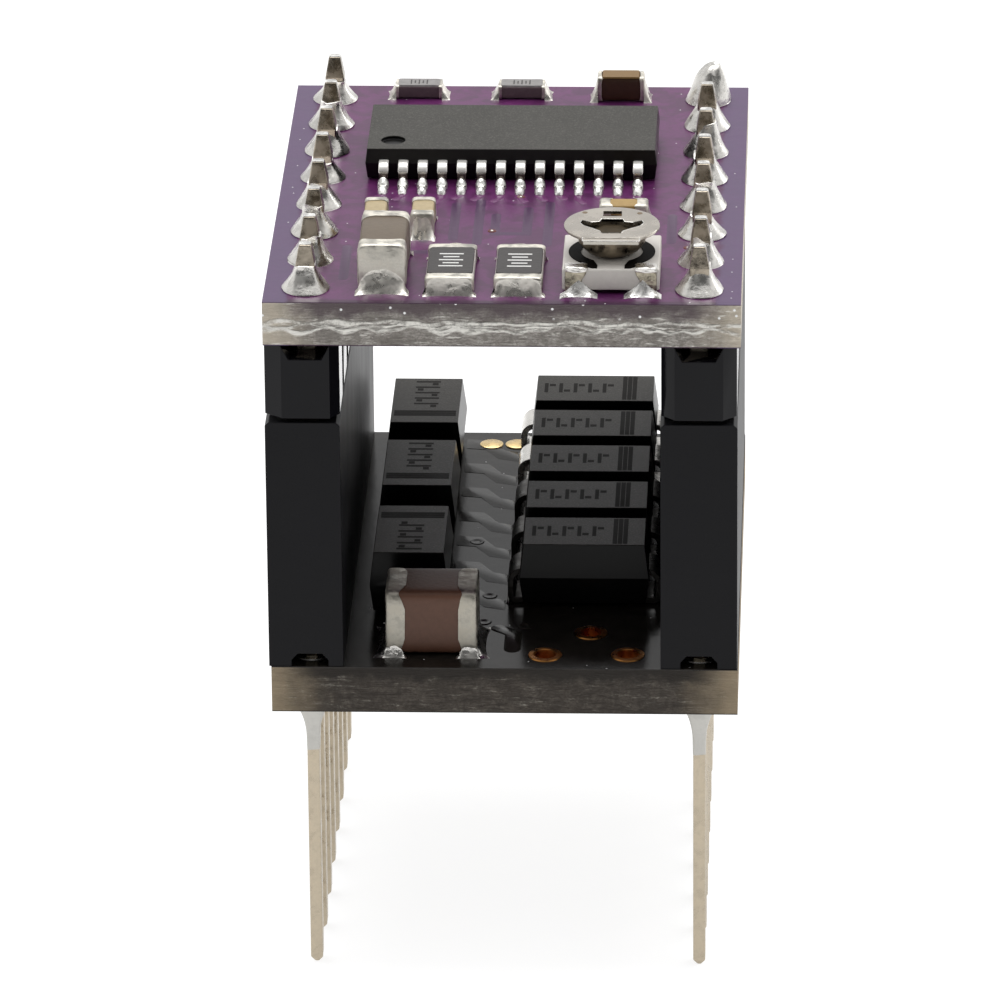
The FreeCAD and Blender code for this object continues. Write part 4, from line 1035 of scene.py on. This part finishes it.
def add_toe(half_width, height, seed):
    """Solder over a lead's foot and in front of it: two rounded lobes in line, out along +X."""
    rings = []
    lobes = [(-0.46, 0.40), (-0.44, 0.90), (-0.37, 1.10), (-0.28, 1.02), (-0.19, 0.78), (-0.12, 0.46),
             (-0.08, 0.34), (-0.03, 0.46), (0.05, 0.68), (0.15, 0.72), (0.25, 0.58), (0.33, 0.36),
             (0.38, 0.12)]
    for along, size in lobes:
        swell = 1 + 0.10 * noise.noise(Vector((along * 4, seed * 1.9, 0.3)))
        ring = []
        for i in range(16):
            angle = math.pi * i / 15
            across = math.cos(angle) * half_width * (0.45 + 0.55 * min(size, 1)) * swell
            up = max(0.0, math.sin(angle)) ** 0.8 * height * size * swell
            ring.append(Vector((along, across, up)))
        rings.append(ring)
    return add_loft(bmesh.new(), rings)


def rounded_path(corners, cut):
    """A path through corners (y, z) whose inner corners are rounded from `cut` before to after."""
    path = [Vector(corners[0])]
    for before, corner, after, step in zip(corners, corners[1:], corners[2:], cut):
        corner = Vector(corner)
        start = corner + (Vector(before) - corner).normalized() * step
        finish = corner + (Vector(after) - corner).normalized() * step
        for k in range(9):
            t = k / 8
            path.append(start * (1 - t) ** 2 + corner * 2 * t * (1 - t) + finish * t ** 2)
    path.append(Vector(corners[-1]))
    return path


def add_gull_lead(shape, x, toe, root, face, parting):
    """A formed lead from inside the case, over its shoulder and down to the foot on the board.

    toe, root and face are the y of the lead's two ends and of the case; the lead is mirrored for
    the back row, where the toe lies at a greater y than the root.
    """
    outward = 1 if toe > root else -1
    sheet = 0.15
    shoulder = face + outward * 0.46
    low = DRIVER_TOP + sheet / 2
    corners = [(root, parting), (shoulder, parting), (shoulder - outward * 0.02, low), (toe, low)]
    path = rounded_path(corners, (0.34, 0.10))
    rings = []
    for i, point in enumerate(path):
        along = (path[min(i + 1, len(path) - 1)] - path[max(i - 1, 0)]).normalized()
        up = Vector((0, along.y, -along.x)) * outward
        half_width = 0.168 if point.y > parting - 0.2 else 0.152
        section = superellipse(half_width, sheet / 2, 5, 24)
        rings.append([Vector((x + u, point.x, point.y)) + up * v for u, v in section])
    add_loft(shape, rings)


def driver_ic():
    """The moulded case with its pin-one dimple, its leads, and the solder at the lead toes."""
    refined("driver_ic_body", 0.04, case_epoxy, 2, 10)
    paint("driver_ic_thermal_pad", lead_metal)
    paint("driver_ic_die", silicon)
    case_low, case_high = span("driver_ic_body")
    back_low, back_high = span("driver_ic_back_leads")
    parting = lead_high.z - 0.02
    front, back, toes = bmesh.new(), bmesh.new(), []
    for i, x in enumerate(LEAD_XS):
        add_gull_lead(front, x, lead_low.y + 0.02, lead_high.y, case_low.y, parting)
        add_gull_lead(back, x, back_high.y - 0.02, back_low.y, case_high.y, parting)
        toes.append(settle(add_toe(0.185, 0.30, i), x, lead_low.y, DRIVER_TOP, -90))
        toes.append(settle(add_toe(0.185, 0.30, i + 30), x, back_high.y, DRIVER_TOP, 90))
    piece("ic_front_leads", front, formed_lead, DRIVER, ["driver_ic_front_leads"])
    piece("ic_back_leads", back, formed_lead, DRIVER, ["driver_ic_back_leads"])
    piece("ic_joints", merged(toes), bright_joint, DRIVER)


driver_ic()


# ---- Diodes ----

def laser_marks(top):
    """Generic bars on a diode's top: three at its cathode end, and five short ones with a tick each."""
    shape = bmesh.new()

    def bar(u, width, low, high):
        add_box(shape, (u, low, top - 0.01), (u + width, high, top + 0.002))

    for u in (0.94, 1.11, 1.28):
        bar(u, 0.15, -1.06, 1.06)
    for k, side in enumerate((1, -1, 1, -1, 1)):
        u = -1.75 + k * 0.50
        bar(u, 0.13, -0.42, 0.42)
        bar(u + 0.17, 0.21, 0.25 * side - 0.10, 0.25 * side + 0.10)
    return shape


def diodes():
    """Cases, leads, generic laser marks and solder of the eight diodes, and the bulk capacitor's solder."""
    turns = [0, 0, 0, 0, 0, 270, 270, 90]
    # Only these diodes' leads keep the plated metal; the others take painted shade
    lit_leads = (1, 2, 6)
    marks, joints = [], []
    for i, turn in enumerate(turns, start=1):
        refined(f"diode_{i}_body", 0.06, diode_epoxy, 3, 10)
        refined(f"diode_{i}_leads", 0.03, lead_metal if i in lit_leads else lead_painted_shade)
        low, high = span(f"diode_{i}_body")
        centre = (low + high) / 2
        marks.append(settle(laser_marks(high.z), centre.x, centre.y, 0, turn))
        leads_low, leads_high = span(f"diode_{i}_leads")
        half = max(leads_high.xy - leads_low.xy) / 2
        joints += heels((*centre.xy, SMOOTHER_TOP), turn, half - 0.01, 1.5, 0.45, 0.07, i)
    joints += chip_solder(BULK, SMOOTHER_TOP, 70)
    for side in (-1, 1):
        heel = add_heel(BULK.band * 1.3, 0.16, 0.36, side * 4, flare=0.3)
        x = BULK.x + side * (BULK.length - BULK.band) / 2
        joints.append(settle(heel, x, BULK.y - BULK.width / 2, SMOOTHER_TOP, -90))
    piece("diode_marks", merged(marks), laser_mark, SMOOTHER)
    piece("smoother_joints", merged(joints), solder, SMOOTHER, ["smoother_solder"])
    paint("diode_dies", silicon)


diodes()


# ---- Trimmer ----

def arc(radius, start, end, count):
    """Points on a circle about the origin, from one angle to another, in degrees."""
    angles = [math.radians(start + (end - start) * i / count) for i in range(count + 1)]
    return [(radius * math.cos(a), radius * math.sin(a)) for a in angles]


def cut_away(thing, tools):
    """Take the tools' shapes out of a piece, for good."""
    for tool in tools:
        modifier = thing.modifiers.new("cut", "BOOLEAN")
        modifier.operation = "DIFFERENCE"
        modifier.solver = "EXACT"
        modifier.object = tool
    bpy.context.view_layer.update()
    evaluated = thing.evaluated_get(bpy.context.evaluated_depsgraph_get())
    mesh = bpy.data.meshes.new_from_object(evaluated)
    thing.modifiers.clear()
    thing.data = mesh
    for tool in tools:
        bpy.data.objects.remove(tool)


# The driver slot in x, y from the rotor's middle, and the window behind it
SLOT_HALF = [(0.31, -0.80), (0.37, -0.60), (0.60, -0.38), (0.90, -0.14), (1.02, 0.12), (0.96, 0.34),
             (0.68, 0.16), (0.40, 0.21), (0.34, 0.45)]
SLOT = SLOT_HALF + [(-u, v) for u, v in reversed(SLOT_HALF)]
WINDOW = [(-0.30, 0.74), (0.30, 0.74), (0.30, 1.18), (-0.30, 1.18)]
DISC_RADIUS = 1.55
DISC_FLAT = 1.27        # how far the flat at the disc's front is from its middle


def rotor_disc(x, y, top):
    """The rotor's stamped disc: a rounded rim, a flat at the front, the driver slot and a window."""
    disc = bmesh.new()
    profile = [(1.49, -0.115), (1.53, -0.11), (DISC_RADIUS, -0.085), (DISC_RADIUS, -0.03), (1.53, -0.008),
               (1.49, 0.0), (1.30, -0.004), (1.0, -0.012), (0.6, -0.02), (0.2, -0.02)]
    rings = []
    for radius, z in profile:
        limit = DISC_FLAT - (DISC_RADIUS - radius) if radius > 1.3 else radius
        rings.append([Vector((x + u, y + max(v, -limit), top + z)) for u, v in arc(radius, 0, 355, 71)])
    add_loft(disc, rings)
    rotor = piece("rotor_disc", disc, rotor_metal, ROTOR, ["trimmer_rotor"])
    tools = []
    for outline in (SLOT, WINDOW):
        tool = settle(add_prism(bmesh.new(), outline, -0.5, 0.3), x, y, top)
        tools.append(piece("tool", tool, rotor_metal, ROTOR))
    cut_away(rotor, tools)
    soften(rotor, 0.022, 2, 40)


def slot_rim(x, y, top):
    """The slightly raised rim round the driver slot, in the brighter lead metal: a painted highlight on the
    slot's edge.
    """
    middle = Vector((0, -0.1, 0))
    rings = []
    for grow, z in ((0.0, -0.113), (0.0, -0.007), (0.022, -0.001), (0.040, -0.033)):
        ring = []
        for u, v in SLOT:
            point = Vector((u, v, 0))
            ring.append(point + (point - middle).normalized() * grow + Vector((x, y, top + z)))
        rings.append(ring)
    piece("rotor_slot_rim", add_loft(bmesh.new(), rings, closed=True), lead_metal, ROTOR)


def trimmer_rotor(x, y):
    """The disc, the hub cup under it, the folded lip at its flat and two spots of flux."""
    top = span("trimmer_rotor")[1].z
    rotor_disc(x, y, top)
    slot_rim(x, y, top)
    wall = [(0.56, -0.93), (0.70, -0.93), (0.90, -0.80), (1.08, -0.56), (1.15, -0.14), (1.10, -0.14),
            (1.02, -0.52), (0.85, -0.75)]
    # The hub cup takes the darker metal: painted shade under the disc
    cup = settle(add_lathe(bmesh.new(), wall, 0, 0, 48, closed=True), x, y, top)
    piece("rotor_cup", cup, rotor_painted_shade, ROTOR)
    # The lip takes the brighter lead metal: a painted highlight along the disc's front edge
    lip = add_box(bmesh.new(), (x - 0.95, y - 1.265, top - 0.155), (x + 0.95, y - 1.14, top - 0.005))
    piece("rotor_lip", lip, lead_metal, ROTOR, bevel=0.045)
    fold = add_box(bmesh.new(), (x - 0.90, y - 1.235, top - 0.27), (x + 0.90, y - 1.14, top - 0.13))
    piece("rotor_fold", fold, end_cap, ROTOR, bevel=0.03)
    spots = bmesh.new()
    for u, v in ((-0.90, 1.02), (0.88, 0.98)):
        add_prism(spots, [(u + a, v + b) for a, b in arc(0.09, 0, 330, 11)], -0.02, -0.001)
    piece("rotor_flux", settle(spots, x, y, top), flux, ROTOR)


def lumpy_block(low, high, seed):
    """A rounded block of solder with an uneven skin."""
    shape = bmesh.new()
    bmesh.ops.create_cube(shape, size=2)
    bmesh.ops.subdivide_edges(shape, edges=shape.edges[:], cuts=9, use_grid_fill=True)
    half = (Vector(high) - Vector(low)) / 2
    middle = (Vector(high) + Vector(low)) / 2
    for vertex in shape.verts:
        point = vertex.co.copy()
        reach = sum(abs(c) ** 6 for c in point) ** (1 / 6)
        rounded = point / reach if reach > 0.5 else point
        wave = noise.noise(Vector((point.x * 2.2 + seed, point.y * 1.6, point.z * 1.3)))
        vertex.co = middle + rounded * half * (1 + 0.1 * wave)
    return shape


def trimmer():
    """The ceramic base with its track and terminals, and the rotor that turns on it."""
    x, y = TRIMMER
    base_low, base_high = span("trimmer_base")
    height = base_high.z - DRIVER_TOP
    base = add_box(bmesh.new(), base_low, base_high)
    piece("trimmer_block", base, white_ceramic, DRIVER, ["trimmer_base"], bevel=0.06)
    plates = bmesh.new()
    waist = ((0.0, 0.72), (0.16, 0.80), (0.34, 0.93), (0.56, 0.93), (0.76, 0.82), (0.92, 0.78))
    for side in (-1, 1):
        rings = []
        for share, inner in waist:
            z = DRIVER_TOP + share * height
            edges = [(inner, -1.605), (1.475, -1.605), (1.475, -1.52), (inner, -1.52)]
            rings.append([Vector((x + side * u, y + v, z)) for u, v in edges])
        add_loft(plates, rings)
    piece("terminal_plates", plates, terminal_metal, DRIVER, ["trimmer_end_terminals"], bevel=0.02)
    refined("trimmer_wiper_terminal", 0.03, lead_metal)
    # The pivot, seen through the slot, is coloured dark as painted shade of the recess
    paint("trimmer_pivot", pivot_painted_shade)
    refined("trimmer_wiper", 0.015, lead_metal)

    outline = [(0.62, -1.50), (0.86, -1.30)] + arc(1.40, -50, 230, 60)
    outline += [(-0.86, -1.30), (-0.62, -1.50), (-0.44, -1.50), (-0.44, -1.25)]
    outline += arc(1.00, 235, -55, 60) + [(0.44, -1.25), (0.44, -1.50)]
    track = settle(add_prism(bmesh.new(), outline, 0, 0.028), x, y, base_high.z)
    piece("trimmer_horseshoe", track, track_ink, DRIVER, ["trimmer_track"], sharp=60)

    crowns = []
    for side, inner, outer in ((-1, -1.50, -0.76), (1, 0.76, 1.50)):
        crown = lumpy_block((inner, -1.625, height - 0.12), (outer, -1.14, height + 0.075), 3 * side)
        crowns.append(settle(crown, x, y, DRIVER_TOP))
    piece("terminal_crowns", merged(crowns), solder, DRIVER)
    trimmer_rotor(x, y)


trimmer()


# ---- Studio ----

FRONT_SKY = 0.14        # brightness of the sky in front of the object and behind it
BACK_SKY = 0.85
FLOOR_GLOW = 0.85       # the floor is a lit panel, so that shadows on it stay pale


def floor_panel():
    """A pale lit floor, clear from underneath so that the object's underside can be seen."""
    half = 3.0      # metres
    corners = [(-half, -half, 0), (half, -half, 0), (half, half, 0), (-half, half, 0)]
    mesh = bpy.data.meshes.new("floor")
    mesh.from_pydata(corners, [], [(0, 1, 2, 3)])
    floor = bpy.data.objects.new("floor", mesh)
    bpy.context.scene.collection.objects.link(floor)
    finish = Finish("floor_panel", grey(0.30), 0.9, 0.0)
    finish.colour(finish.mix(finish.noise(0.02, 2.0), grey(0.29), grey(0.31)))
    finish.wire(grey(1.0), finish.shader.inputs["Emission Color"])
    finish.wire(FLOOR_GLOW, finish.shader.inputs["Emission Strength"])
    below = finish.node("ShaderNodeNewGeometry")
    clear = finish.node("ShaderNodeBsdfTransparent")
    either = finish.node("ShaderNodeMixShader")
    finish.wire(below.outputs["Backfacing"], either.inputs[0])
    finish.wire(finish.shader.outputs[0], either.inputs[1])
    finish.wire(clear.outputs[0], either.inputs[2])
    finish.wire(either.outputs[0], finish.tree.nodes["Material Output"].inputs["Surface"])
    mesh.materials.append(finish.material)


def sky():
    """A soft sky that is brighter behind the object than in front of it."""
    world = bpy.data.worlds.new("studio")
    bpy.context.scene.world = world
    world.use_nodes = True
    nodes, links = world.node_tree.nodes, world.node_tree.links
    direction = nodes.new("ShaderNodeTexCoord")
    axes = nodes.new("ShaderNodeSeparateXYZ")
    turn = nodes.new("ShaderNodeMapRange")
    turn.interpolation_type = "SMOOTHSTEP"
    turn.inputs["From Min"].default_value = -0.76
    turn.inputs["From Max"].default_value = -0.30
    turn.inputs["To Min"].default_value = FRONT_SKY
    turn.inputs["To Max"].default_value = BACK_SKY
    background = nodes["Background"]
    background.inputs["Color"].default_value = (1.0, 1.0, 1.0, 1)
    links.new(direction.outputs["Generated"], axes.inputs[0])
    links.new(axes.outputs["Y"], turn.inputs["Value"])
    links.new(turn.outputs["Result"], background.inputs["Strength"])


def soft_boxes():
    """Two square lamps that face the object: position, width in metres and power in watts."""
    target = Vector((0.0, 0.0, 0.02))
    boxes = {
        "top_box": ((0.0, 0.14, 0.50), 0.45, 2.0),
        "right_box": ((0.42, 0.30, 0.16), 0.20, 0.25),
    }
    for name, (position, size, power) in boxes.items():
        light = bpy.data.lights.new(name, "AREA")
        light.shape = "SQUARE"
        light.size = size
        light.energy = power
        lamp = bpy.data.objects.new(name, light)
        lamp.location = position
        lamp.rotation_euler = (target - Vector(position)).to_track_quat("-Z", "Y").to_euler()
        bpy.context.scene.collection.objects.link(lamp)


def camera():
    """A long lens in front and above, turned a little to the right of straight ahead."""
    yaw, pitch, roll = (math.radians(angle) for angle in (-2.325, 22.647, -0.507))
    forward = Vector((math.sin(yaw) * math.cos(pitch), math.cos(yaw) * math.cos(pitch), -math.sin(pitch)))
    right = Vector((math.cos(yaw), -math.sin(yaw), 0))
    up = right.cross(forward)
    turned_right = right * math.cos(roll) + up * math.sin(roll)
    turned_up = up * math.cos(roll) - right * math.sin(roll)
    data = bpy.data.cameras.new("camera")
    data.lens = 326.3
    data.sensor_width = 36
    data.clip_start = 0.01
    thing = bpy.data.objects.new("camera", data)
    rotation = Matrix((turned_right, turned_up, -forward)).transposed()
    thing.matrix_world = Matrix.Translation((0.01093, -0.28122, 0.13027)) @ rotation.to_4x4()
    bpy.context.scene.collection.objects.link(thing)
    bpy.context.scene.camera = thing


floor_panel()
sky()
soft_boxes()
camera()
bpy.context.scene.view_settings.view_transform = "Standard"
